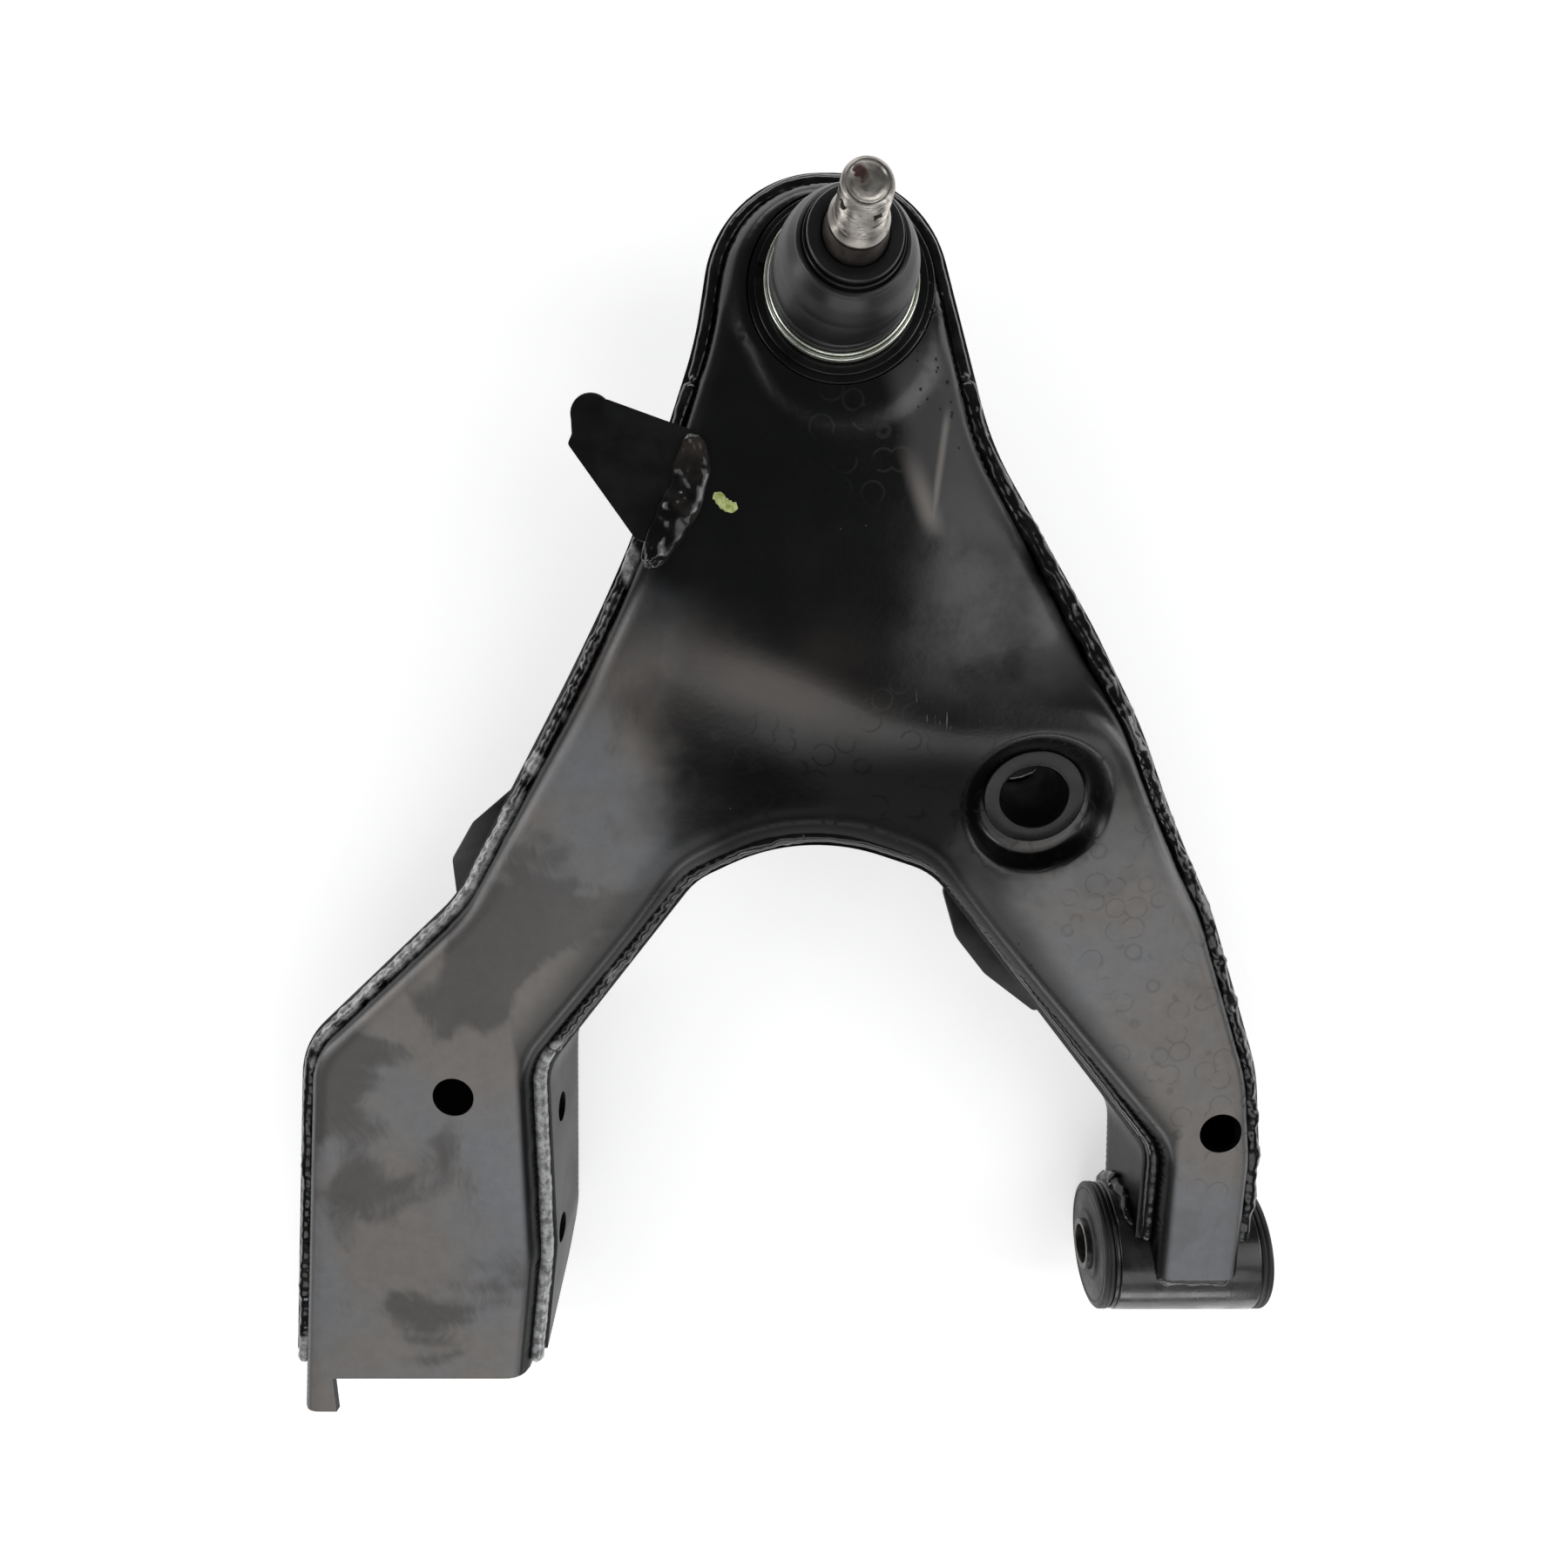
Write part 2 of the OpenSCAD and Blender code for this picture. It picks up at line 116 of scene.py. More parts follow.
def fillet(a, p, b, pitch):
    """Points of the fillet arc at corner p between neighbours a and b."""
    c = np.array(p[:2], float)
    u, w = unit(np.array(a[:2]) - c), unit(np.array(b[:2]) - c)
    half = math.acos(float(np.clip(u @ w, -1, 1))) / 2
    r = p[2]
    centre = c + unit(u + w) * r / math.sin(half)
    start = c + u * r / math.tan(half) - centre
    end = c + w * r / math.tan(half) - centre
    a0 = math.atan2(start[1], start[0])
    sweep = (math.atan2(end[1], end[0]) - a0 + 3 * math.pi) % (2 * math.pi) - math.pi
    n = max(4, int(abs(sweep) * r / pitch))
    return [centre + r * np.array([math.cos(a0 + sweep * i / n), math.sin(a0 + sweep * i / n)])
            for i in range(n + 1)]


def inset(corners, d):
    """The same outline moved inward by d, with its fillets kept concentric."""
    out = []
    for i, p in enumerate(corners):
        a, b = corners[i - 1], corners[(i + 1) % len(corners)]
        e, f = unit(np.subtract(p[:2], a[:2])), unit(np.subtract(b[:2], p[:2]))
        m, n = np.array([e[1], -e[0]]), np.array([f[1], -f[0]])
        q = np.array(p[:2], float) + (m + n) * d / (1 + m @ n)
        turn = np.sign(m[0] * n[1] - m[1] * n[0])
        out.append((q[0], q[1], max(p[2] + d * turn, 0.6) if p[2] else 0))
    return out


def closed_path(corners, pitch=3.0):
    """The filleted outline as evenly spaced points."""
    raw = []
    for i, p in enumerate(corners):
        if p[2]:
            raw += fillet(corners[i - 1], p, corners[(i + 1) % len(corners)], pitch)
        else:
            raw.append(np.array(p[:2], float))
    pts = []
    for a, b in zip(raw, raw[1:] + raw[:1]):
        n = max(1, int(round(np.linalg.norm(b - a) / pitch)))
        pts += [a + (b - a) * k / n for k in range(n)]
    return np.array(pts)


def distance_in(points, loop):
    """Signed distance of points to a closed loop: positive inside."""
    a, b = loop, np.roll(loop, -1, axis=0)
    out = np.empty(len(points))
    for s in range(0, len(points), 2000):
        p = points[s:s + 2000, None, :]
        ab = (b - a)[None]
        t = np.clip(((p - a[None]) * ab).sum(2) / (ab ** 2).sum(2), 0, 1)
        d = np.sqrt((((p - a[None]) - t[..., None] * ab) ** 2).sum(2)).min(1)
        x, y = points[s:s + 2000, 0][:, None], points[s:s + 2000, 1][:, None]
        crosses = (a[:, 1] > y) != (b[:, 1] > y)
        with np.errstate(divide="ignore", invalid="ignore"):
            at = a[:, 0] + (y - a[:, 1]) * (b[:, 0] - a[:, 0]) / (b[:, 1] - a[:, 1])
        inside = ((crosses & (x < at)).sum(1) % 2) == 1
        out[s:s + 2000] = np.where(inside, d, -d)
    return out


def turns(n):
    """n even steps of one turn, in radians."""
    return [2 * math.pi * i / n for i in range(n)]


def ring(cx, cy, r, n=96, squash_y=1.0):
    """A circle of points in plan, or an ellipse."""
    t = np.linspace(0, 2 * math.pi, n, endpoint=False)
    return np.stack([cx + r * np.cos(t), cy + r * squash_y * np.sin(t)], 1)


def smooth(e0, e1, v):
    t = np.clip((v - e0) / (e1 - e0), 0, 1)
    return t * t * (3 - 2 * t)


def soft_min(a, b, k):
    h = np.maximum(k - np.abs(a - b), 0) / k
    return np.minimum(a, b) - h * h * k / 4


def soft_plus(v, width):
    """The positive part of v, rounded over the width given."""
    return (v + np.sqrt(v * v + width * width)) / 2


# ---- pressed surfaces ----

BEND = np.array([(-275, 313), (-248, 308), (-207, 295), (-158, 268), (-123, 259), (-54, 260),
                 (0, 262)], float)
CREASE_A, CREASE_B = np.array((-149.0, 384)), np.array((-129.0, 387))
CREASE_C, CREASE_D = np.array((-135.0, 342)), np.array((-146.0, 292))


def right_of(x, y, a, b):
    """Distance to the right of the line from a to b."""
    e = unit(b - a)
    return (x - a[0]) * e[1] - (y - a[1]) * e[0]


def plain_top(x, y):
    """Height of the upper skin without its creases, pad and dish."""
    bend = np.interp(x, BEND[:, 0], BEND[:, 1])
    step = PLATFORM_Z - STEP_SLOPE * (bend - y)
    leg = LEG_Z + LEG_SLOPE * y
    slope = -soft_min(-step, -leg, 9.0)
    return soft_min(np.full_like(slope, PLATFORM_Z), slope, 7.0)


def top(x, y):
    """Height of the upper shell's skin before its edges roll over."""
    z = plain_top(x, y)
    # two creases on the platform's right side, and the flank that falls away past them
    on = smooth(262, 300, y) * (1 - smooth(392, 430, y))
    joined = right_of(x, y, CREASE_D, CREASE_C)
    near = np.where(y > CREASE_C[1], right_of(x, y, CREASE_C, CREASE_A), joined)
    far = np.where(y > CREASE_C[1], right_of(x, y, CREASE_C, CREASE_B), joined)
    width = 1.6 + 11 * (1 - smooth(318, 352, y))
    z = z - on * (0.050 * soft_plus(near, 3.0) + 0.085 * soft_plus(far, width))
    # raised pad round the joint, longer toward the legs
    toe = np.hypot(x - PAD_TOE[0], y - PAD_TOE[1]) - PAD_TOE_R
    r = np.minimum(np.hypot(x - BALL.x, y - BALL.y) - PAD_R, toe)
    z = z + PAD_RISE * (1 - smooth(-5.0, 2.5, r))
    # dish round the link collar
    dx, dy = x - COLLAR.x, y - COLLAR.y
    u = dy * math.cos(COLLAR_TILT) + (z - COLLAR.z) * math.sin(COLLAR_TILT)
    rc = np.hypot(dx, u)
    floor = COLLAR.z + dy * math.tan(COLLAR_TILT) - DISH_SINK / math.cos(COLLAR_TILT)
    return z + (floor - z) * (1 - smooth(22.0, 32.5, rc))


def roll_radius(x, y):
    """Radius of the upper shell's rolled edge: wider round the arch and down the step."""
    arch = np.exp(-(((x + 185) / 75) ** 2 + ((y - 205) / 34) ** 2))
    step = np.exp(-(((y - 275) / 40) ** 2))
    return 9.0 + 7.0 * arch + 3.0 * step


def rolled(d, radius):
    """Drop of a rolled edge at distance d inside it."""
    s = np.clip(radius - d, 0, radius)
    return radius - np.sqrt(np.maximum(radius ** 2 - s ** 2, 0))


def bottom(x, y):
    """Height of the lower shell's floor."""
    t = np.clip((y - 120) / 210, 0, 1)
    return LEG_BOTTOM + (NOSE_BOTTOM - LEG_BOTTOM) * (t * 0.35 + 0.65 * t * t * (3 - 2 * t))


def sheet_mesh(corners, holes, height, radius_at, wall_to, wall_rows, sign, rings=()):
    """A pressed skin: a filled plan with a rolled edge, and a wall from the roll's end to wall_to.

    sign is 1 for a skin on top, with its wall going down, and -1 for one underneath."""
    loop = closed_path(corners, 3.0)
    levels = [18 * (1 - math.cos(math.radians(a))) for a in (8, 16, 25, 34, 44, 55, 67, 80)]
    clouds = [closed_path(inset(corners, d), 3.4) for d in levels]
    lo, hi = loop.min(0), loop.max(0)
    gx, gy = np.meshgrid(np.arange(lo[0], hi[0], 3.0), np.arange(lo[1], hi[1], 3.0))
    gx = gx + 1.5 * (np.arange(gx.shape[0]) % 2)[:, None]
    grid = np.stack([gx.ravel(), gy.ravel()], 1)
    grid = grid[distance_in(grid, loop) > levels[-1] + 1.5]
    if rings:
        grid = grid[distance_in(grid, rings[-1]) < -1.0]
    extras = list(rings)
    for hole in holes:
        c = hole.mean(0)
        extras += [c + (hole - c) * k for k in (1.04, 1.1)]
    clouds += [extra[distance_in(extra, loop) > 0.5] for extra in extras]
    free = np.concatenate(clouds + [grid])
    keep = distance_in(free, loop) > 0.15
    for hole in holes:
        keep &= distance_in(free, hole) < -0.4
    borders = [loop] + holes
    edges, at = [], 0
    for border in borders:
        n = len(border)
        edges += [(at + i, at + (i + 1) % n) for i in range(n)]
        at += n
    pts = np.concatenate(borders + [free[keep]])
    verts, _, faces, orig, _, _ = delaunay_2d_cdt([Vector(p) for p in pts], edges, [], 4, 1e-5)
    xy = np.array([tuple(v) for v in verts])
    tri = np.array([f for f in faces if len(f) == 3])
    mid = xy[tri].mean(1)
    for hole in holes:
        outside = distance_in(mid, hole) < 0
        tri, mid = tri[outside], mid[outside]
    n_loop = len(loop)
    where = {k: i for i, o in enumerate(orig) for k in o if k < n_loop}
    x, y = xy[:, 0], xy[:, 1]
    d = np.maximum(distance_in(xy, loop), 0)
    d[list(where.values())] = 0
    radius = radius_at(x, y)
    z = height(x, y) - sign * rolled(d, radius)
    a, b, c = xy[tri[:, 0]], xy[tri[:, 1]], xy[tri[:, 2]]
    ccw = ((b - a)[:, 0] * (c - a)[:, 1] - (b - a)[:, 1] * (c - a)[:, 0]) > 0
    tri = np.where((ccw == (sign > 0))[:, None], tri, tri[:, ::-1])
    out = [list(p) for p in np.stack([x, y, z], 1)]
    quads = []
    rim = [where[k] for k in range(n_loop)]
    ends = wall_to(loop[:, 0], loop[:, 1])
    rows = [rim]
    for r in range(1, wall_rows + 1):
        row = []
        for k in range(n_loop):
            z0 = out[rim[k]][2]
            row.append(len(out))
            out.append([loop[k, 0], loop[k, 1], z0 + (ends[k] - z0) * r / wall_rows])
        rows.append(row)
    for upper, lower in zip(rows, rows[1:]):
        for k in range(n_loop):
            m = (k + 1) % n_loop
            q = (upper[k], upper[m], lower[m], lower[k])
            quads.append(q if sign > 0 else q[::-1])
    return out, [tuple(t) for t in tri.tolist()] + quads


# ---- mesh helpers ----

def metres(v):
    return tuple(c * MM for c in v)


def add_object(name, data):
    obj = bpy.data.objects.new(name, data)
    bpy.context.collection.objects.link(obj)
    return obj


def mesh_object(name, verts, faces):
    """A linked object from vertices in metres."""
    mesh = bpy.data.meshes.new(name)
    mesh.from_pydata(verts, [], faces)
    return add_object(name, mesh)


def piece(name, verts, faces, material, body="arm", nodes=(), slot=None, sharp=40, ride=True):
    obj = mesh_object(name, [metres(v) for v in verts], faces)
    obj.data.validate()
    obj.data.materials.append(material)
    finish_shading(obj, sharp)
    if nodes:
        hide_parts(*nodes)
    if ride:
        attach(obj, body)
    return obj


def solid(*args, **kw):
    """A closed piece, with every face turned outward."""
    return recalc(piece(*args, **kw))


def finish_shading(obj, sharp):
    for p in obj.data.polygons:
        p.use_smooth = True
    obj.data.set_sharp_from_angle(angle=math.radians(sharp))


def bake(obj, sharp=40):
    """Applies the object's modifiers to its mesh."""
    bpy.context.view_layer.update()
    got = bpy.data.meshes.new_from_object(obj.evaluated_get(bpy.context.evaluated_depsgraph_get()))
    old = obj.data
    obj.modifiers.clear()
    obj.data = got
    bpy.data.meshes.remove(old)
    finish_shading(obj, sharp)


def recalc(obj):
    """Turns every face outward."""
    bm = bmesh.new()
    bm.from_mesh(obj.data)
    bmesh.ops.recalc_face_normals(bm, faces=bm.faces)
    bm.to_mesh(obj.data)
    bm.free()
    return obj


def swept_faces(rows, seg, wrap=False):
    """Quads between rows of seg points, with a cap at each end unless the rows wrap round."""
    faces = []
    for i in range(rows if wrap else rows - 1):
        a, b = i * seg, (i + 1) % rows * seg
        for k in range(seg):
            m = (k + 1) % seg
            faces.append((a + k, a + m, b + m, b + k))
    if not wrap:
        faces += [tuple(range(seg))[::-1], tuple(range((rows - 1) * seg, rows * seg))]
    return faces


def prism(ends):
    """A cutting tool between two matching end loops."""
    verts = [metres(v) for end in ends for v in end]
    return recalc(mesh_object("tool", verts, swept_faces(2, len(ends[0]))))


def box_tool(lo, hi):
    v = [metres((x, y, z)) for x in (lo[0], hi[0]) for y in (lo[1], hi[1]) for z in (lo[2], hi[2])]
    f = [(0, 1, 3, 2), (4, 6, 7, 5), (0, 4, 5, 1), (2, 3, 7, 6), (0, 2, 6, 4), (1, 5, 7, 3)]
    return mesh_object("tool", v, f)


def frame_of(axis):
    return Vector(axis).normalized().to_track_quat("Z", "Y").to_matrix()


def circle(origin, q, r, h, seg):
    """Points of the circle of radius r at height h in the frame q."""
    return [tuple(Vector(origin) + q @ Vector((r * math.cos(t), r * math.sin(t), h)))
            for t in turns(seg)]


def rod_tool(start, axis, length, r, seg=64):
    return prism([circle(start, frame_of(axis), r, h, seg) for h in (0, length)])


def cut(obj, tools, sharp=40):
    for t in tools:
        m = obj.modifiers.new("cut", "BOOLEAN")
        m.operation, m.solver, m.object = "DIFFERENCE", "EXACT", t
    bake(obj, sharp)
    for t in tools:
        bpy.data.objects.remove(t, do_unlink=True)

def soften(profile, r=0.5, n=3):
    """Rounds the corners of a closed (radius, height) profile. A point may carry its own radius."""
    out = []
    for i, p in enumerate(profile):
        c = np.array(p[:2], float)
        own = p[2] if len(p) > 2 else r
        a, b = np.array(profile[i - 1][:2], float), np.array(profile[(i + 1) % len(profile)][:2], float)
        la, lb = np.linalg.norm(a - c), np.linalg.norm(b - c)
        if own <= 0 or c[0] < 1e-6 or la < 1e-6 or lb < 1e-6:
            out.append(tuple(c))
            continue
        k = min(own, la * 0.45, lb * 0.45)
        s, e = c + (a - c) / la * k, c + (b - c) / lb * k
        for j in range(n + 1):
            t = j / n
            out.append(tuple((1 - t) ** 2 * s + 2 * t * (1 - t) * c + t * t * e))
    return out


def lathe(profile, origin=(0, 0, 0), axis=(0, 0, 1), seg=128, closed=True, warp=None):
    """Turns a (radius, height) profile about an axis; returns vertices and faces."""
    q = frame_of(axis)
    o = Vector(origin)
    verts, rows = [], []
    for r, h in profile:
        if r < 1e-6:
            rows.append([len(verts)])
            verts.append(tuple(o + q @ Vector((0, 0, h))))
            continue
        row = []
        for t in turns(seg):
            rr, hh = (r, h) if warp is None else warp(r, h, t)
            row.append(len(verts))
            verts.append(tuple(o + q @ Vector((rr * math.cos(t), rr * math.sin(t), hh))))
        rows.append(row)
    faces = []
    for a, b in zip(rows, rows[1:] + (rows[:1] if closed else [])):
        for i in range(seg):
            j = (i + 1) % seg
            if len(a) == 1 and len(b) == 1:
                break
            if len(a) == 1:
                faces.append((a[0], b[i], b[j]))
            elif len(b) == 1:
                faces.append((a[i], b[0], a[j]))
            else:
                faces.append((a[i], b[i], b[j], a[j]))
    return verts, faces


def turned(name, profile, material, origin=(0, 0, 0), axis=(0, 0, 1), r=0.5, inner=0,
           slot="machined_coat", **kw):
    """A turned piece with rounded corners; its faces nearer the axis than inner are painted near black as
    shade in the bore.
    """
    obj = solid(name, *lathe(soften(profile, r), origin, axis), material, slot=slot, **kw)
    finish_shading(obj, 40)
    if inner:
        obj.data.materials.append(INSIDE_SHADE)
        o, a = Vector(origin), Vector(axis).normalized()
        for p in obj.data.polygons:
            d = p.center / MM - o
            if (d - a * d.dot(a)).length < inner:
                p.material_index = 1
    return obj


# length over which a bead thins out at each end
BEAD_END = 4.0


def bead(name, path, size, material, nodes, lump=0.14, ripple=0.035, pitch=5.5, seed=0.0):
    """A weld bead along a path of 3-D points: a lumpy closed rod with crescent ripples."""
    pts = [Vector(p) for p in path]
    run = [0.0]
    for a, b in zip(pts, pts[1:]):
        run.append(run[-1] + (b - a).length)
    seg, verts = 14, []
    for i, p in enumerate(pts):
        tangent = (pts[min(i + 1, len(pts) - 1)] - pts[max(i - 1, 0)]).normalized()
        side = tangent.cross(Vector((0, 0, 1))).normalized()
        up = side.cross(tangent).normalized()
        s = run[i]
        ends = min(1.0, 0.25 + min(s, run[-1] - s) / BEAD_END)
        for t in turns(seg):
            c, d = math.cos(t), math.sin(t)
            q = Vector((s * 0.09 + seed, c * 0.8, d * 0.8))
            r = size * (1 + lump * noise.noise(q) * 1.6 + lump * 0.7 * noise.noise(q * 3.1))
            wave = 2 * math.pi * (s + 1.6 * c * c) / pitch + 2 * noise.noise(q * 0.5)
            r *= 1 + ripple * math.sin(wave)
            r *= ends
            verts.append(tuple(p + side * (r * c) + up * (r * d)))
    faces = swept_faces(len(pts), seg)
    return solid(name, verts, faces, material, nodes=nodes, slot="weld_coat", sharp=75)


# ---- materials ----

# the silvery stretches of weld lie left of this X, in metres
SILVER_X = -0.235


class Nodes:
    """A small helper for building a node material on object coordinates."""

    def __init__(self, name):
        self.material = bpy.data.materials.new(name)
        self.material.use_nodes = True
        self.tree = self.material.node_tree
        self.shader = self.tree.nodes["Principled BSDF"]
        place = self.tree.nodes.new("ShaderNodeTexCoord")
        self.coords, self.normal = place.outputs["Object"], place.outputs["Normal"]

    def add(self, kind, **inputs):
        n = self.tree.nodes.new(kind)
        for k, v in inputs.items():
            self.put(n, k, v)
        return n

    def put(self, n, key, value):
        if key[0] == "i" and key[1:].isdigit():
            socket = n.inputs[int(key[1:])]
        else:
            socket = n.inputs[key.replace("_", " ")]
        if isinstance(value, bpy.types.NodeSocket):
            self.tree.links.new(value, socket)
        else:
            socket.default_value = value

    def noise(self, scale, detail=4.0, rough=0.55, distortion=0.0, vector=None):
        n = self.add("ShaderNodeTexNoise", Vector=vector or self.coords, Scale=scale, Detail=detail,
                     Roughness=rough, Distortion=distortion)
        return n.outputs["Fac"]

    def cells(self, scale, randomness=1.0):
        n = self.add("ShaderNodeTexVoronoi", Vector=self.coords, Scale=scale, Randomness=randomness)
        return n.outputs["Distance"]

    def math(self, op, a, b=0.0, c=0.0):
        n = self.add("ShaderNodeMath", i0=a, i1=b, i2=c)
        n.operation = op
        return n.outputs[0]

    def plus(self, a, b):
        return self.math("ADD", a, b)

    def less(self, a, b):
        return self.math("SUBTRACT", a, b)

    def most(self, a, b):
        return self.math("MAXIMUM", a, b)

    def times(self, *factors):
        """The product of the factors."""
        out = factors[0]
        for factor in factors[1:]:
            out = self.math("MULTIPLY", out, factor)
        return out

    def span(self, value, lo, hi, to_lo=0.0, to_hi=1.0):
        """A smooth step from to_lo to to_hi while value goes from lo to hi."""
        n = self.add("ShaderNodeMapRange", Value=value, From_Min=lo, From_Max=hi, To_Min=to_lo,
                     To_Max=to_hi)
        n.interpolation_type = "SMOOTHSTEP"
        return n.outputs["Result"]

    def spans(self, *steps):
        """The product of several smooth steps."""
        return self.times(*(self.span(*step) for step in steps))

    def mix(self, factor, a, b):
        """Mixes two colours; a single number stands for a grey."""
        n = self.tree.nodes.new("ShaderNodeMix")
        n.data_type = "RGBA"
        for key, v in (("i0", factor), ("i6", a), ("i7", b)):
            if key != "i0" and isinstance(v, float):
                v = (v, v, v)
            self.put(n, key, (*v, 1.0) if isinstance(v, tuple) else v)
        return n.outputs[2]

    def along(self, x, y, direction, origin):
        """Distance in plan from the origin along a direction."""
        a = self.times(self.less(x, origin[0]), direction[0])
        return self.math("MULTIPLY_ADD", self.less(y, origin[1]), direction[1], a)

    def stretched(self, scale, rotation=(0, 0, 0)):
        n = self.add("ShaderNodeMapping", Vector=self.coords, Scale=scale, Rotation=rotation)
        return n.outputs[0]

    def axis(self, which, vector=None):
        return self.add("ShaderNodeSeparateXYZ", Vector=vector or self.coords).outputs[which]

    def bump(self, height, strength, distance, after=None):
        n = self.add("ShaderNodeBump", Height=height, Strength=strength, Distance=distance)
        if after is not None:
            self.put(n, "Normal", after)
        return n.outputs["Normal"]

    def set(self, **values):
        for k, v in values.items():
            key = k.replace("_", " ")
            if isinstance(v, tuple) and len(v) == 3 and key.endswith("Color"):
                v = (*v, 1.0)
            self.put(self.shader, key, v)
        return self.material


def shell_paint(name, film_and_light=1.0):
    """Black electrocoat, near black outboard, with a grey film on the legs that is partly painted light
    where their sloped tops catch the lamps; painted shade round the arch's crown and down the inner rolls,
    and painted highlights by the step and on the creases.
    """
    m = Nodes(name)
    x, y, up = m.axis("X"), m.axis("Y"), m.axis("Z", m.normal)
    wander = m.times(m.less(m.noise(14.0), 0.5), 0.07)
    xw, yw = m.plus(x, wander), m.less(y, wander)
    # painted shade: the film ends in a black band down each leg's inner roll, wide above the bend, narrow
    # below
    left_shade_band = m.most(m.span(m.along(x, y, (-0.789, 0.615), (-0.301, 0.106)), 0.009, 0.028),
                       m.span(m.along(x, y, (-1, 0), (-0.302, 0)), 0.008, 0.013))
    right_shade_band = m.most(m.span(m.along(x, y, (0.793, 0.609), (-0.026, 0.064)), 0.009, 0.024),
                        m.span(m.along(x, y, (1, 0), (-0.026, 0)), 0.008, 0.013))
    left = m.times(m.spans((xw, -0.205, -0.262), (yw, 0.318, 0.282)), left_shade_band)
    right = m.times(m.spans((xw, -0.118, -0.068), (yw, 0.262, 0.200)), right_shade_band)
    # painted shade: the film also thins to black round the arch's crown
    crown_shade = m.spans((xw, -0.262, -0.226), (xw, -0.085, -0.110), (yw, 0.165, 0.190), (yw, 0.300, 0.268))
    # the grey film on the legs stands partly for the light their sloped tops catch; it is kept to faces that
    # look up, so walls and rolls that lean over get painted shade
    leg_film_and_light = m.times(m.most(left, right), m.span(up, 0.80, 0.96), m.less(1.0, crown_shade))
    # soft stains with finely brushed borders, on a film that clouds from blue-grey to warm grey
    swirl = m.noise(22.0, 2.0, 0.5)
    swirled = m.add("ShaderNodeCombineXYZ", X=m.times(swirl, 16.0), Y=m.times(swirl, 9.0)).outputs[0]
    brushed = m.add("ShaderNodeVectorMath", i0=m.stretched((300, 90, 60), (0, 0, 0.75)), i1=swirled)
    brushed.operation = "ADD"
    strokes = m.noise(1.0, 4.0, 0.6, 0.0, brushed.outputs[0])
    patch = m.plus(m.noise(15.0, 3.0, 0.5, 0.4), m.times(m.less(strokes, 0.5), 0.10))
    stain = m.most(m.span(patch, 0.40, 0.50), m.span(x, -0.34, -0.20, 0.0, 0.75))
    grain = m.span(m.noise(160.0, 5.0, 0.7), 0.3, 0.7, 0.86, 1.0)
    warmth = m.less(m.noise(10.0, 3.0), m.span(x, -0.15, -0.05, 0.0, 0.07))
    tint = m.mix(m.span(warmth, 0.40, 0.60), (0.168, 0.176, 0.188), (0.180, 0.165, 0.150))
    worn = m.mix(stain, (0.074, 0.069, 0.066), tint)
    colour = m.mix(m.times(leg_film_and_light, grain, film_and_light), (0.0022, 0.0023, 0.0026), worn)
    # painted highlight: a brown haze where the step bends, brightest in a tongue toward the collar
    step_highlight = m.spans((y, 0.250, 0.280), (y, 0.318, 0.290), (x, -0.12, -0.22),
                   (m.noise(20.0, 3.0), 0.30, 0.62))
    slant = m.plus(y, m.times(m.plus(x, 0.205), 0.32))
    tongue_highlight = m.spans((slant, 0.262, 0.277), (slant, 0.298, 0.281), (x, -0.245, -0.205),
                     (x, -0.130, -0.200))
    colour = m.mix(m.times(step_highlight, 0.5 * film_and_light), colour, (0.050, 0.041, 0.035))
    colour = m.mix(m.times(tongue_highlight, 0.65 * film_and_light), colour, (0.092, 0.078, 0.068))
    # painted reflection: a grey sheen past the creases out to the right edge, with painted highlights on the
    # two crests
    off_a = m.along(x, y, (0.949, 0.316), tuple(CREASE_C * MM))
    off_b = m.along(x, y, (0.991, -0.132), tuple(CREASE_C * MM))
    crease_sheen = m.spans((off_a, -0.004, 0.006), (y, 0.322, 0.352), (yw, 0.412, 0.385))
    lower_crease_sheen = m.spans((xw, -0.165, -0.120), (yw, 0.262, 0.300), (m.noise(26.0, 4.0, 0.6), 0.36, 0.62),
                          (y, 0.372, 0.338))
    crease_sheen = m.most(crease_sheen, lower_crease_sheen)
    colour = m.mix(m.times(crease_sheen, 0.90 * film_and_light), colour, (0.066, 0.064, 0.066))
    crest_highlight_a = m.spans((m.math("ABSOLUTE", off_a), 0.0065, 0.0), (y, 0.378, 0.350))
    crest_highlight_b = m.spans((m.math("ABSOLUTE", off_b), 0.0022, 0.0), (y, 0.388, 0.378))
    crest_highlight = m.times(m.most(crest_highlight_a, crest_highlight_b), m.span(y, 0.334, 0.346))
    colour = m.mix(m.times(crest_highlight, 0.85 * film_and_light), colour, (0.230, 0.215, 0.200))
    # ring-shaped drying marks, drawn as thin contour lines, in patches
    bubbles = m.cells(88.0, 0.75)
    marks = m.spans((bubbles, 0.36, 0.40), (bubbles, 0.47, 0.43), (m.noise(11.0, 1.0), 0.53, 0.60),
                    (x, -0.30, -0.24), (m.noise(90.0, 2.0), 0.42, 0.52))
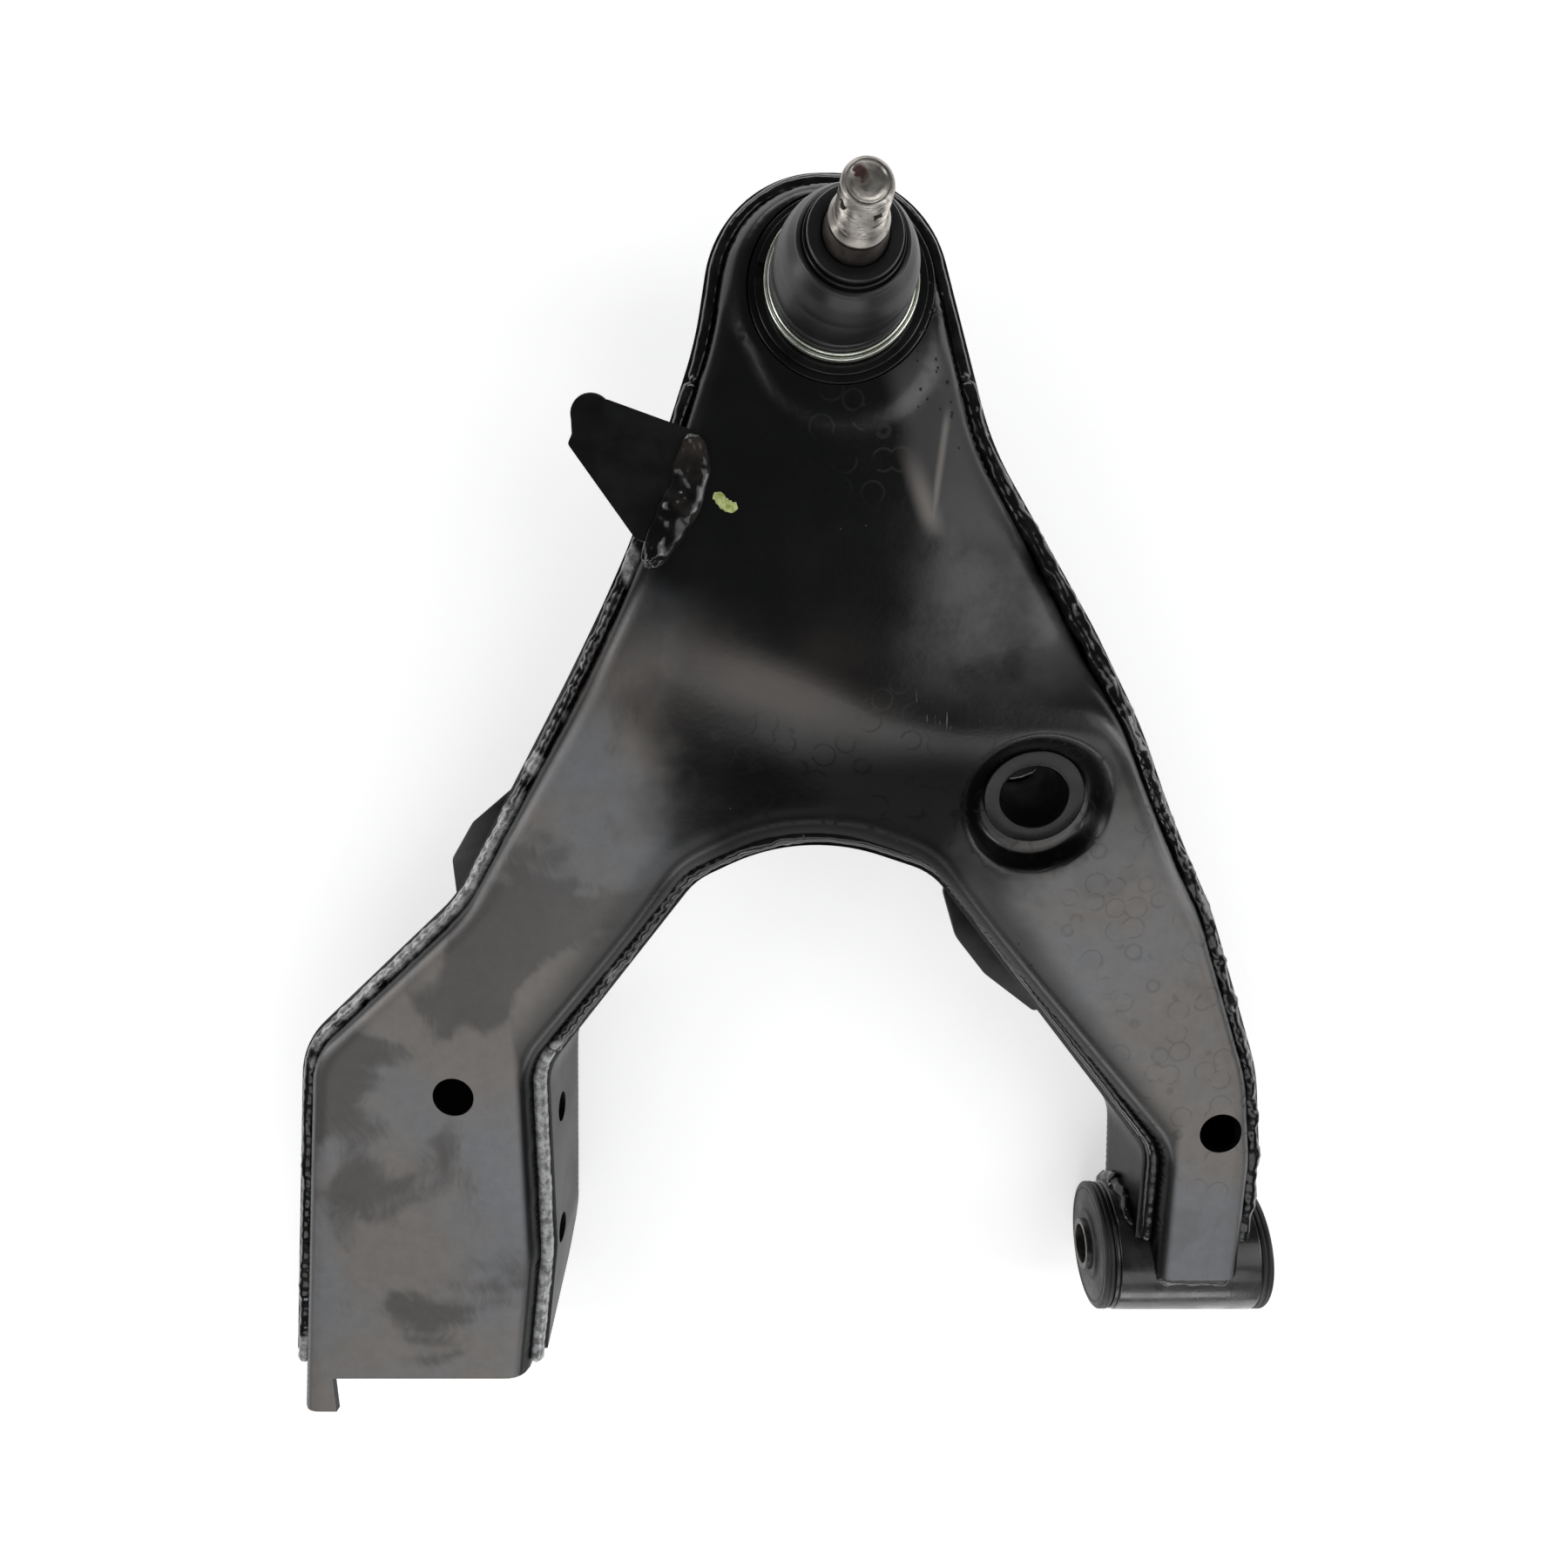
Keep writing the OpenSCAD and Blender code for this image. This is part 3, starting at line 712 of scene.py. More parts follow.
    # dust specks, and short scratches by the step
    specks = m.spans((m.cells(150.0), 0.045, 0.028), (m.noise(60.0, 1.0), 0.60, 0.66))
    colour = m.mix(m.times(specks, 0.5), colour, 0.25)
    strands = m.noise(1.0, 2.0, 0.6, 0.0, m.stretched((1900, 90, 60), (0, 0, 0.14)))
    scratch = m.spans((strands, 0.66, 0.72), (x, -0.148, -0.142), (x, -0.118, -0.124),
                      (y, 0.260, 0.264), (y, 0.279, 0.272))
    colour = m.mix(m.times(scratch, 0.8), colour, (0.30, 0.29, 0.28))
    rough = m.plus(m.span(m.noise(30.0), 0.3, 0.7, 0.29, 0.36), m.times(leg_film_and_light, 0.10))
    rough = m.plus(rough, m.times(marks, 0.30))
    colour = m.mix(m.times(marks, 0.16), colour, 0.004)
    peel = m.bump(m.noise(420.0, 3.0, 0.6), 0.12, 0.0006)
    ringed = m.bump(marks, -0.8, 0.0003, peel)
    wave = m.bump(m.noise(24.0, 2.0), 0.05, 0.003, ringed)
    # less gloss on the crown and on faces that lean over
    deep = m.spans((xw, -0.250, -0.215), (xw, -0.095, -0.125), (y, 0.185, 0.205), (y, 0.262, 0.242))
    level = m.times(m.span(up, 0.25, 0.93, 0.10, 0.52), m.less(1.0, m.times(deep, 0.75)))
    coat = m.times(m.span(up, 0.5, 0.95, 0.02, 0.10), m.less(1.0, deep))
    return m.set(Base_Color=colour, Roughness=rough, Normal=wave, IOR=1.5, Specular_IOR_Level=level,
                 Coat_Weight=coat, Coat_Roughness=0.10)


def weld_paint(name, tint=(0.03, 0.026, 0.022), share=0.3, bright=None, grit=1.0, blotch=90.0):
    """Glossy coated weld; bright is (colour, lowest noise) for silvery stretches on the left leg."""
    m = Nodes(name)
    colour = m.mix(m.times(m.span(m.noise(blotch), 0.45, 0.7), share), (0.003, 0.003, 0.0032), tint)
    if bright:
        silver, lowest = bright
        strip = m.spans((m.noise(16.0, 3.0, 0.6), lowest, lowest + 0.03),
                        (m.axis("X"), SILVER_X, SILVER_X - 0.01))
        flecks = m.span(m.noise(240.0, 4.0, 0.7), 0.38, 0.62, 0.35, 1.0)
        colour = m.mix(m.times(strip, flecks), colour, silver)
    spatter = m.span(m.cells(420.0), 0.10, 0.04)
    colour = m.mix(m.times(spatter, 0.10), colour, (0.12, 0.115, 0.11))
    r = m.span(m.noise(120.0, 3.0), 0.3, 0.7, 0.12, 0.26)
    fine = m.bump(m.noise(600.0, 3.0, 0.6), 0.10 * grit, 0.0004)
    lumps = m.bump(m.noise(170.0, 2.0), 0.25 * grit, 0.0012, fine)
    return m.set(Base_Color=colour, Roughness=r, Normal=lumps, IOR=1.5, Specular_IOR_Level=0.5,
                 Coat_Weight=0.15, Coat_Roughness=0.06)


def bare_steel(name, light, dark, rust=0.5, rough=(0.24, 0.45), spot=None):
    """Turned steel with worn and stained areas; spot is the centre of one rust patch, in millimetres."""
    m = Nodes(name)
    worn = m.span(m.noise(75.0, 4.0, 0.55), 0.30, 0.62)
    colour = m.mix(worn, dark, light)
    blotch = m.noise(330.0, 5.0, 0.7)
    stains = m.times(m.span(blotch, 0.58, 0.64), rust)
    if spot is not None:
        reach = m.add("ShaderNodeVectorMath", i0=m.coords, i1=spot * MM)
        reach.operation = "DISTANCE"
        near = m.spans((reach.outputs["Value"], 0.0040, 0.0022), (blotch, 0.46, 0.52))
        stains = m.most(stains, near)
    colour = m.mix(stains, colour, (0.050, 0.020, 0.012))
    turning = m.noise(1.0, 3.0, 0.6, 0.0, m.stretched((60, 60, 2600)))
    r = m.plus(m.span(m.noise(260.0), 0.3, 0.7, *rough), m.times(stains, 0.3))
    n = m.bump(turning, 0.15, 0.0003)
    n = m.bump(m.noise(900.0, 3.0), 0.12, 0.0003, n)
    return m.set(Base_Color=colour, Metallic=m.span(stains, 0.1, 0.9, 0.9, 0.3), Roughness=r, Normal=n)


def satin_black(name, base, light, rough, grain=600.0, bump=0.12, coat=0.0, patch=30.0, level=0.5):
    """A smooth coat or rubber, cloudy between two colours, with a little dust."""
    m = Nodes(name)
    colour = m.mix(m.span(m.noise(patch), 0.35, 0.7), base, light)
    dust = m.spans((m.cells(260.0), 0.06, 0.03), (m.noise(90.0, 1.0), 0.58, 0.64))
    colour = m.mix(m.times(dust, 0.5), colour, 0.2)
    r = m.span(m.noise(patch * 2.5), 0.3, 0.7, *rough)
    n = m.bump(m.noise(grain, 4.0, 0.6), bump, 0.0004)
    return m.set(Base_Color=colour, Roughness=r, Normal=n, Coat_Weight=coat, Coat_Roughness=0.1,
                 Specular_IOR_Level=level)


PAINT = shell_paint("shell_paint")
PAN = shell_paint("pan_paint", film_and_light=0.35)
WELD = weld_paint("weld_paint")
WELD_STREAK = weld_paint("weld_streak", bright=((0.42, 0.42, 0.415), 0.515))
WELD_SILVER = weld_paint("weld_silver", bright=((0.44, 0.445, 0.45), 0.28))
WELD_BROWN = weld_paint("weld_brown", (0.085, 0.072, 0.062), 0.45, grit=0.3, blotch=38.0)
TURNED = satin_black("turned_paint", (0.003, 0.003, 0.0033), (0.010, 0.010, 0.011), (0.20, 0.32),
                     coat=0.15, level=0.28)
BRACKET = satin_black("bracket_paint", (0.002, 0.002, 0.0022), 0.007, (0.30, 0.42))
TUBE = satin_black("tube_paint", (0.008, 0.008, 0.009), (0.060, 0.058, 0.056), (0.20, 0.36), coat=0.2)
SPRING = satin_black("spring_paint", 0.003, 0.010, (0.16, 0.26))
BOOT = satin_black("boot_rubber", (0.006, 0.006, 0.0065), (0.010, 0.010, 0.011), (0.34, 0.42),
                   380.0, 0.08)
RUBBER = satin_black("bush_rubber", 0.006, (0.020, 0.019, 0.018), (0.45, 0.60),
                     300.0, 0.25)
LINER = satin_black("seat_liner", (0.62, 0.60, 0.53), (0.72, 0.70, 0.62), (0.40, 0.50))
# painted shade: a near-black matte with little gloss for the shells' insides and the collar's bore, where
# shade falls
INSIDE_SHADE = satin_black("inside_painted_shade", 0.0008, 0.002, (0.7, 0.85),
                     200.0, 0.2, level=0.08)
STEEL = bare_steel("stud_steel", (0.42, 0.40, 0.365), (0.20, 0.185, 0.165), 0.35,
                   spot=BALL + STUD_AXIS * 71.5 + Vector((-2.6, 2.6, 0)))
SLEEVE = bare_steel("sleeve_steel", (0.10, 0.095, 0.090), (0.035, 0.033, 0.031), 0.25)
ZINC = bare_steel("zinc_plate", (0.86, 0.89, 0.80), (0.62, 0.65, 0.54), 0.0, (0.25, 0.36))
TAPER = bare_steel("taper_steel", (0.075, 0.066, 0.060), (0.040, 0.036, 0.032), 0.15, (0.40, 0.55))
DAB = satin_black("paint_dab", (0.30, 0.36, 0.08), (0.62, 0.68, 0.30), (0.35, 0.5), 500.0, 0.3,
                  patch=420.0)


# ---- shells ----

LEFT_TAB_X, LEFT_TAB_Y, LEFT_END_Y, RIGHT_END_Y = -412, -72.5, -53.5, 1


def collar_ring(r):
    """The plan of a circle round the collar's axis on the skin."""
    return ring(COLLAR.x, COLLAR.y, r, 72, math.cos(COLLAR_TILT))


def shell(name, skin, material, node):
    """A pressed skin given its sheet thickness, with its inside painted near black as shade."""
    obj = piece(name, *skin, material, nodes=[node], slot="shell_coat")
    thick = obj.modifiers.new("thickness", "SOLIDIFY")
    thick.thickness, thick.offset, thick.use_even_offset, thick.material_offset = SHEET * MM, -1, False, 1
    obj.data.materials.append(INSIDE_SHADE)
    bake(obj)
    return obj


def shared_cuts():
    """Cuts made in both shells: the right leg's end and the tube's bed, and the bolt holes."""
    return ([box_tool((-100, -120, -80), (100, RIGHT_END_Y, 160)),
             rod_tool((-80, 0, 0), (1, 0, 0), 160, TUBE_R + 0.1, 128)],
            [rod_tool((-470, y, z), (1, 0, 0), 200, 7.0) for y, z in BOLTS])


wall = inset(OUTLINE, LAP_INSET)
wall[15:18] = [(-131.5, 202.0, 34), (-185, 219.5, 84), (-234.5, 197.5, 34)]
joint_hole = ring(BALL.x, BALL.y, 36.3, 140)
upper = shell("upper_skin", sheet_mesh(
    wall, [joint_hole, collar_ring(17.2), ring(*LEFT_HOLE, 56), ring(*RIGHT_HOLE, 56)],
    top, roll_radius, lambda x, y: plain_top(x, y) - SKIRT_DROP, 6, 1,
    [collar_ring(r) for r in (20, 21.5, 23, 24.5, 25.5, 26.5, 27.5, 28.5, 29.5, 31, 32.5, 34)]),
    PAINT, "upper_shell")
ends, bolts = shared_cuts()
cut(upper, [box_tool((-500, -120, -80), (LEFT_TAB_X, LEFT_TAB_Y, 160)),
            box_tool((LEFT_TAB_X - 0.01, -120, -80), (-250, LEFT_END_Y, 160))] + ends + bolts)

lower = shell("lower_pan", sheet_mesh(
    OUTLINE, [joint_hole, ring(COLLAR.x, COLLAR.y + 20, 17.4, 72, 1 / math.cos(COLLAR_TILT))],
    bottom, lambda x, y: np.full_like(x, 7.0), lambda x, y: plain_top(x, y) - LAP_DROP, 12, -1),
    PAN, "lower_shell")
leg_end = [(-160, -150), (-160, 90), (LEFT_END_Y, 90), (LEFT_END_Y, 25), (-50, 20), (-14, -14), (6, -24),
           (26, LEG_BOTTOM - 0.5), (26, -150)]
floor_plan = closed_path(inset(OUTLINE, 4.2), 4.0)
floor_plan = floor_plan[(floor_plan[:, 0] < -240) & (floor_plan[:, 1] < LEFT_FLOOR_Y)]
ends, bolts = shared_cuts()
cut(lower, [prism([[(x, y, z) for y, z in leg_end] for x in (-500, -240)]), *ends,
            prism([[(x, y, z) for x, y in floor_plan] for z in (-60, -21.0)]), *bolts])


# ---- seam welds ----

seam = closed_path(inset(OUTLINE, 4.6), 1.1)
seam_z = plain_top(seam[:, 0], seam[:, 1]) - LAP_DROP + 1.2


def seam_run(region):
    """The stretch of the seam inside a plan region, clear of both leg ends."""
    inside = distance_in(seam, np.array(region, float)) > 0
    clear = np.where(seam[:, 0] < -200, seam[:, 1] > LEFT_END_Y + 1, seam[:, 1] > 15)
    flags = inside & clear
    n = len(flags)
    i = next(k for k in range(n) if flags[k] and not flags[k - 1])
    out = []
    while flags[i % n] and len(out) < n:
        out.append((seam[i % n][0], seam[i % n][1], seam_z[i % n]))
        i += 1
    return out


for name, node, size, material, region, look in (
        ("nose", "nose", 3.2, WELD, [(-300, 397), (-300, 520), (0, 520), (0, 397)],
         dict(lump=0.07, ripple=0.015, seed=1.0)),
        ("left", "left", 3.4, WELD_STREAK,
         [(-480, -100), (-360, -100), (-360, 120), (-175, 300), (-175, 400), (-480, 400)], dict(seed=5.0)),
        ("right", "right", 3.7, WELD,
         [(60, -100), (0, -100), (0, 100), (-175, 300), (-175, 400), (60, 400)],
         dict(lump=0.24, ripple=0.02, seed=9.0)),
        ("arch_leg", "arch", 3.3, WELD_SILVER, [(-360, -100), (-360, 118), (-280, 118), (-280, -100)],
         dict(lump=0.07, ripple=0.02, seed=11.0)),
        ("arch_left", "arch", 3.4, WELD_STREAK, [(-360, 114), (-360, 118), (-181, 290), (-181, 114)],
         dict(seed=13.0)),
        ("arch_right", "arch", 3.0, WELD, [(-189, -100), (-189, 290), (0, 100), (0, -100)],
         dict(lump=0.05, ripple=0.015, seed=17.0))):
    bead("seam_" + name, seam_run(region), size, material, ["weld_" + node], **look)


# ---- ball joint ----

bx, by, bz = BALL
turned("seat_ring", [(29.1, NOSE_BOTTOM - 3), (35.9, NOSE_BOTTOM - 3), (35.9, 86.0), (29.1, 86.0)],
       TURNED, (bx, by, 0), r=0.9, nodes=["joint_seat_ring"])
turned("housing", [(21, -37), (34, -37), (34, -33), (28.9, -33), (28.9, 6.2), (27.4, 6.2), (27.4, 8.2),
                   (28.8, 8.2), (28.8, 9.8), (24.4, 9.8), (24.4, 14.2), (22.6, 14.2), (22.6, 11), (19, 7),
                   (19, 5), (21, 5)], TURNED, BALL, r=0.35, nodes=["joint_housing"])
turned("base_cap", [(0, -37), (12.5, -35.8), (14.8, -37), (20.9, -37), (20.9, -32.1), (0, -32.1)],
       TURNED, BALL, r=0.6, nodes=["joint_base_cap"])
turned("clip_band", [(26.3, 10.0), (29.3, 10.0), (29.3, 12.9), (28.2, 12.9), (27.9, 12.2), (26.3, 12.2)],
       ZINC, BALL, r=0.5, nodes=["boot_clip_ring"], slot="zinc_ring")


def around_ball(sections):
    """Points of (radius, height) sections turned to their angles about the ball's vertical."""
    return [(bx + r * math.cos(t), by + r * math.sin(t), bz + h) for t, section in sections
            for r, h in section]


def circlip(seg=150):
    """A split spring ring with a gap of ten degrees."""
    section = soften([(27.6, 6.4), (33, 6.4), (33, 8.1), (27.6, 8.1)], 0.4)
    a0, a1 = math.radians(175), math.radians(175 + 350)
    verts = around_ball((a0 + (a1 - a0) * i / seg, section) for i in range(seg + 1))
    solid("circlip", verts, swept_faces(seg + 1, len(section)), SPRING,
          nodes=["housing_circlip"], slot="spring_steel")


circlip()

THREAD_LOW, THREAD_TOP, TIP = 54.9, 70.7, 72.5
PITCH, THREAD_DEPTH = 1.65, 1.15


def thread(r, h, t):
    """Sinks a helical groove into the stud's threaded length."""
    if not (THREAD_LOW < h < THREAD_TOP + 0.6 and r > 8):
        return r, h
    phase = (h / PITCH - t / (2 * math.pi)) % 1.0
    groove = abs(phase - 0.5) * 2
    fade = min(1.0, (h - THREAD_LOW) / 1.5, (THREAD_TOP + 0.6 - h) / 0.8)
    worn = 0.8 + 0.35 * noise.noise(Vector((math.cos(t) * 2, math.sin(t) * 2, h * 0.5)))
    return r - THREAD_DEPTH * (1 - groove) * fade * worn, h


threads = [(9.0, THREAD_LOW + 0.05 + (THREAD_TOP - THREAD_LOW - 0.05) * i / 110) for i in range(111)]
shaft = soften([(0, 10), (9.2, 10), (9.2, 22), (12.2, 28), (11.6, 38), (11.6, 44.7), (10.6, 51.2)], 0.8)
relief = soften([(10.6, 51.2), (10.7, 52.6), (9.3, 54.7)], 0.3)[4:]
tip = soften([(9.0, THREAD_TOP), (8.6, 71.6), (7.5, TIP), (6.7, TIP), (6.0, 71.9), (4.6, 71.3),
              (2.6, 71.0), (0, 70.9)], 0.4)[1:]
verts, faces = lathe(shaft + relief + threads + tip, BALL, STUD_AXIS, 128, closed=False, warp=thread)
stud = solid("stud", verts, faces, STEEL, body="stud", nodes=["ball_stud"], slot="stud_steel",
             sharp=30)
stud.data.materials.append(TAPER)
for p in stud.data.polygons:
    if (Vector(p.center) / MM - BALL).dot(STUD_AXIS) < 51.4:
        p.material_index = 1
stud_turn = Vector((0, 0, 1)).rotation_difference(STUD_AXIS)
drills = []
for degrees in (29, -61):
    across = stud_turn @ Vector((math.sin(math.radians(degrees)), -math.cos(math.radians(degrees)), 0))
    drills.append(rod_tool(BALL + STUD_AXIS * (TIP - 6) - across * 20, across, 40, 1.9, 32))
cut(stud, drills, 30)
ball_v, ball_f = lathe([(0, -17)] + [(17 * math.sin(math.radians(a)), -17 * math.cos(math.radians(a)))
                                     for a in range(6, 150, 4)], BALL, STUD_AXIS, 96, closed=False)
turned("seat_liner", [(8, -32), (20.9, -32), (20.9, 4.9), (17.2, 4.9), (17.1, 0), (14.8, -8.6), (8.6, -14.8),
                      (8, -15)], LINER, BALL, r=0.0, nodes=["ball_seat"], slot="seat_plastic")
solid("stud_ball", ball_v, ball_f, STEEL, body="stud", slot="stud_steel")

# The boot is one skin in two lengths that meet where both follow the boot body.
SPLIT, NECK_GRIP = 27.0, 36.4


def boot_skin(name, outline, seg=144):
    """outline is (radius, height, share of the stud's lean), up the outside and back inside."""
    verts = []
    for r, h, share in outline:
        up = Vector((0, 0, 1)).lerp(STUD_AXIS, share).normalized()
        q = Vector((0, 0, 1)).rotation_difference(up).to_matrix()
        verts += circle(BALL, q, r, h, seg)
    obj = solid(name, verts, swept_faces(len(outline), seg, wrap=True), BOOT,
                nodes=["dust_boot"], slot="boot_rubber", sharp=38, ride=False)
    finish_shading(obj, 38)
    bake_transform(obj)


def smooth_line(points, n=6):
    """Catmull-Rom through the points."""
    pts = [np.array(p, float) for p in points]
    pts = [2 * pts[0] - pts[1]] + pts + [2 * pts[-1] - pts[-2]]
    out = []
    for i in range(1, len(pts) - 2):
        p0, p1, p2, p3 = pts[i - 1:i + 3]
        for k in range(n):
            t = k / n
            out.append(tuple(0.5 * (2 * p1 + (p2 - p0) * t + (2 * p0 - 5 * p1 + 4 * p2 - p3) * t * t
                                    + (3 * p1 - p0 - 3 * p2 + p3) * t ** 3)))
    out.append(tuple(pts[-2]))
    return out


low_out = smooth_line([(26.2, 10.1, 0), (26.2, 12.6, 0)], 3)
low_out += [(26.6, 13.0, 0), (26.8, 13.8, 0)]
low_out += smooth_line([(26.8, 14.6, 0), (27.0, 17.0, 0.0), (26.9, 18.6, 0.05)], 4)
low_out += [(26.7, 19.2, 0.1), (26.3, 19.5, 0.12)]
low_out += smooth_line([(26.3, 20.0, 0.2), (26.5, 22.5, 0.5), (26.4, 25.0, 0.85), (25.9, SPLIT, 1.0)], 5)
low_in = smooth_line([(24.8, SPLIT - 0.4, 1.0), (25.0, 24, 0.75), (24.9, 22, 0.45), (24.8, 19, 0.05),
                      (24.6, 10.1, 0)], 4)
boot_skin("boot_lower", low_out + low_in)
high_out = smooth_line([(25.9, SPLIT), (25.3, 29.0), (24.5, 31.0), (23.3, 33.6), (21.8, 35.9),
                        (20.7, 37.5)], 5)
high_out += [(20.5, 38.2), (20.0, 38.7), (19.0, 38.9), (18.4, 38.5), (16.9, 38.5), (16.9, 41.3),
             (17.1, 41.6), (17.1, 42.8), (16.7, 43.35), (15.4, 43.45), (12.7, 43.3), (12.1, 43.0),
             (11.78, 42.4), (11.72, 37.4), (13.5, 36.6)]
high_in = smooth_line([(16.8, 36.7), (21.0, 35.3), (23.6, 31.4), (24.5, 29.0), (24.8, SPLIT - 0.4)], 4)
boot_skin("boot_upper", [(r, h, 1.0) for r, h in high_out + high_in])
turned("neck_ring", [(17.0, 39.0), (18.2, 39.0), (18.2, 40.9), (17.0, 40.9)], SPRING, BALL, STUD_AXIS,
       r=0.4, body="neck", nodes=["boot_neck_ring"], slot="spring_steel")


def clip_wire(radius=27.3, height=13.6, wire=0.55, seg=220, n=10):
    """The zinc wire that holds the boot's foot above the clip band."""
    section = [(radius + wire * math.cos(s), height + wire * math.sin(s)) for s in turns(n)]
    verts = around_ball((t, section) for t in turns(seg))
    solid("clip_wire", verts, swept_faces(seg, n, wrap=True), ZINC, slot="zinc_ring")


clip_wire()


# ---- stop bracket ----

plate = closed_path([(-224, 375.5, 1), (-239, 380.5, 5), (-261.5, 388.5, 1.5), (-264.5, 387.6, 1.5),
                     (-268.5, 391.3, 5), (-275, 386.5, 5), (-274.6, 376.0, 2), (-276.2, 372.4, 1.2),
                     (-251, 337, 3), (-233, 330, 1)], 1.2)


def slab(name, loop, z0, z1, node, edge=0.7):
    """A flat plate with rounded rims."""
    steps = [(1.0, z0), (0.3, z0 + edge * 0.3), (0.0, z0 + edge), (0.0, z1 - edge),
             (0.3, z1 - edge * 0.3), (1.0, z1)]
    n = len(loop)
    tangents = [unit(loop[(i + 1) % n] - loop[i - 1]) for i in range(n)]
    verts = [(p[0] + t[1] * k * edge, p[1] - t[0] * k * edge, z) for k, z in steps
             for p, t in zip(loop, tangents)]
    obj = solid(name, verts, swept_faces(len(steps), n), BRACKET, nodes=[node], slot="shell_coat")
    finish_shading(obj, 35)


slab("stop_plate", plate, 79, 83.7, "stop_bracket")
turned("stop_boss_rod", [(0, 59), (3, 59), (5, 57), (8.2, 57), (8.2, 81.6), (0, 81.6)], BRACKET,
       (-268.2, 384.4, 0), r=0.9, nodes=["stop_boss"])


def with_sides(pts):
    """Each (x, y, half width) point of a path, with the direction across the path there."""
    for i, (x, y, w) in enumerate(pts):
        a, b = pts[max(i - 1, 0)], pts[min(i + 1, len(pts) - 1)]
        t = unit(np.array([b[0] - a[0], b[1] - a[1]]))
        yield i, x, y, w, (t[1], -t[0])


def bracket_weld(seg=22):
    """The broad lumpy weld that laps the bracket onto the platform."""
    pts = smooth_line([(-246.8, 324.5, 2.4), (-243.5, 330.7, 6.0), (-238.0, 340.2, 7.4),
                       (-233.2, 349.2, 7.6), (-229.2, 360.9, 7.0), (-228.2, 370.0, 5.8),
                       (-229.5, 376.0, 2.8)], 16)
    verts = []
    for i, x, y, w, side in with_sides(pts):
        ends = min(1.0, 0.35 + min(i, len(pts) - 1 - i) / 8)
        for s in turns(seg):
            q = Vector((x * 0.10, y * 0.10, math.cos(s) * 0.9))
            ww = w * (1 + 0.22 * noise.noise(q))
            fold = noise.noise(Vector((x * 0.22, y * 0.22 + 4 * math.cos(s) ** 2, 1.7)))
            hh = 3.0 * (1 + 0.45 * noise.noise(q * 2.0) + 0.55 * fold)
            verts.append((x + side[0] * ww * ends * math.cos(s), y + side[1] * ww * ends * math.cos(s),
                          83.9 + hh * ends * math.sin(s)))
    solid("bracket_weld", verts, swept_faces(len(pts), seg), WELD_BROWN,
          nodes=["weld_stop_bracket"], slot="weld_coat", sharp=80)


bracket_weld()


# ---- link collar ----

turned("collar_sleeve", [(13.75, -60), (17.0, -60), (17.0, -3.5), (21.2, -3.5), (21.2, -1.1),
                         (14.6, -1.1), (13.75, -1.9)],
       TURNED, COLLAR, COLLAR_N, r=0.6, nodes=["link_collar"], inner=14.4)
path = []
for i in range(121):
    t = 2 * math.pi * i / 120
    q = Matrix.Rotation(COLLAR_TILT, 3, "X") @ Vector((18.6 * math.cos(t), 18.6 * math.sin(t), 0))
    x, y = COLLAR.x + q.x, COLLAR.y + q.y + 19.5
    path.append((x, y, float(bottom(np.array(x), np.array(y))) - 0.6))
bead("collar_weld", path, 2.6, WELD, ["weld_link_collar"], seed=21.0)


# ---- pivot bush ----

HALF = 33.5
X_AXIS = (1, 0, 0)
turned("pivot_tube", [(26, -HALF), (29.5, -HALF), (29.5, HALF), (26, HALF)], TUBE, axis=X_AXIS, r=0.8,
       nodes=["bush_tube"])
turned("outer_sleeve", [(24.5, HALF), (25.9, HALF), (25.9, -HALF - 0.3), (29, -HALF - 0.3),
                        (29, -HALF - 2.2), (24.5, -HALF - 2.2)],
       SLEEVE, axis=X_AXIS, r=0.4, nodes=["bush_outer_sleeve"], slot="bush_steel")
# (radius, distance past the tube's end, corner radius) of the rubber's inboard and outboard lips
inboard = [(11.6, 9, 0.4), (16, 9, 0.8), (16.8, 7.6, 0.6), (25.6, 7.6, 0.5), (26.0, 7.0, 0.3),
           (26.4, 7.6, 0.5), (28.3, 7.6, 1.0), (29.3, 6.6, 0.8), (29.3, 5.5, 0.3), (28.7, 5.0, 0.3),
           (29.3, 4.5, 0.3), (29.3, 3.4, 0.6), (28.1, 2.2, 0.4), (24.6, 2.2, 0)]
outboard = [(24.6, 0, 0), (28.1, 0, 0.4), (29.3, 1.2, 0.6), (29.3, 2.4, 0.3), (28.6, 2.9, 0.3),
            (29.3, 3.4, 0.3), (29.3, 5, 0.8), (28.3, 6, 1.0), (26.4, 6, 0.4), (26.0, 5.4, 0.3),
            (25.6, 6, 0.4), (16.8, 6, 0.6), (16, 7.6, 0.8), (11.6, 7.6, 0.4)]
turned("bush_block", [(r, -HALF - e, own) for r, e, own in inboard]
       + [(r, HALF + e, own) for r, e, own in outboard],
       RUBBER, axis=X_AXIS, r=0.5, nodes=["bush_rubber"], slot="bush_rubber")
turned("inner_sleeve", [(9, -45), (11.5, -45), (11.5, 45), (9, 45)], SLEEVE, axis=X_AXIS, r=0.4,
       body="bush_sleeve", nodes=["bush_inner_sleeve"], slot="bush_steel")


def tube_weld(name, x, node, from_deg, to_deg, size, lump, seed):
    """A bead round the tube at x, between two angles from +Y toward +Z."""
    path = []
    r = TUBE_R + 1.2
    count = int(abs(to_deg - from_deg) * math.pi / 180 * r / 1.1)
    for i in range(count + 1):
        t = math.radians(from_deg + (to_deg - from_deg) * i / count)
        path.append((x, r * math.cos(t), r * math.sin(t)))
    bead(name, path, size, WELD, [node], lump, 0.10, 9.0, seed=seed)


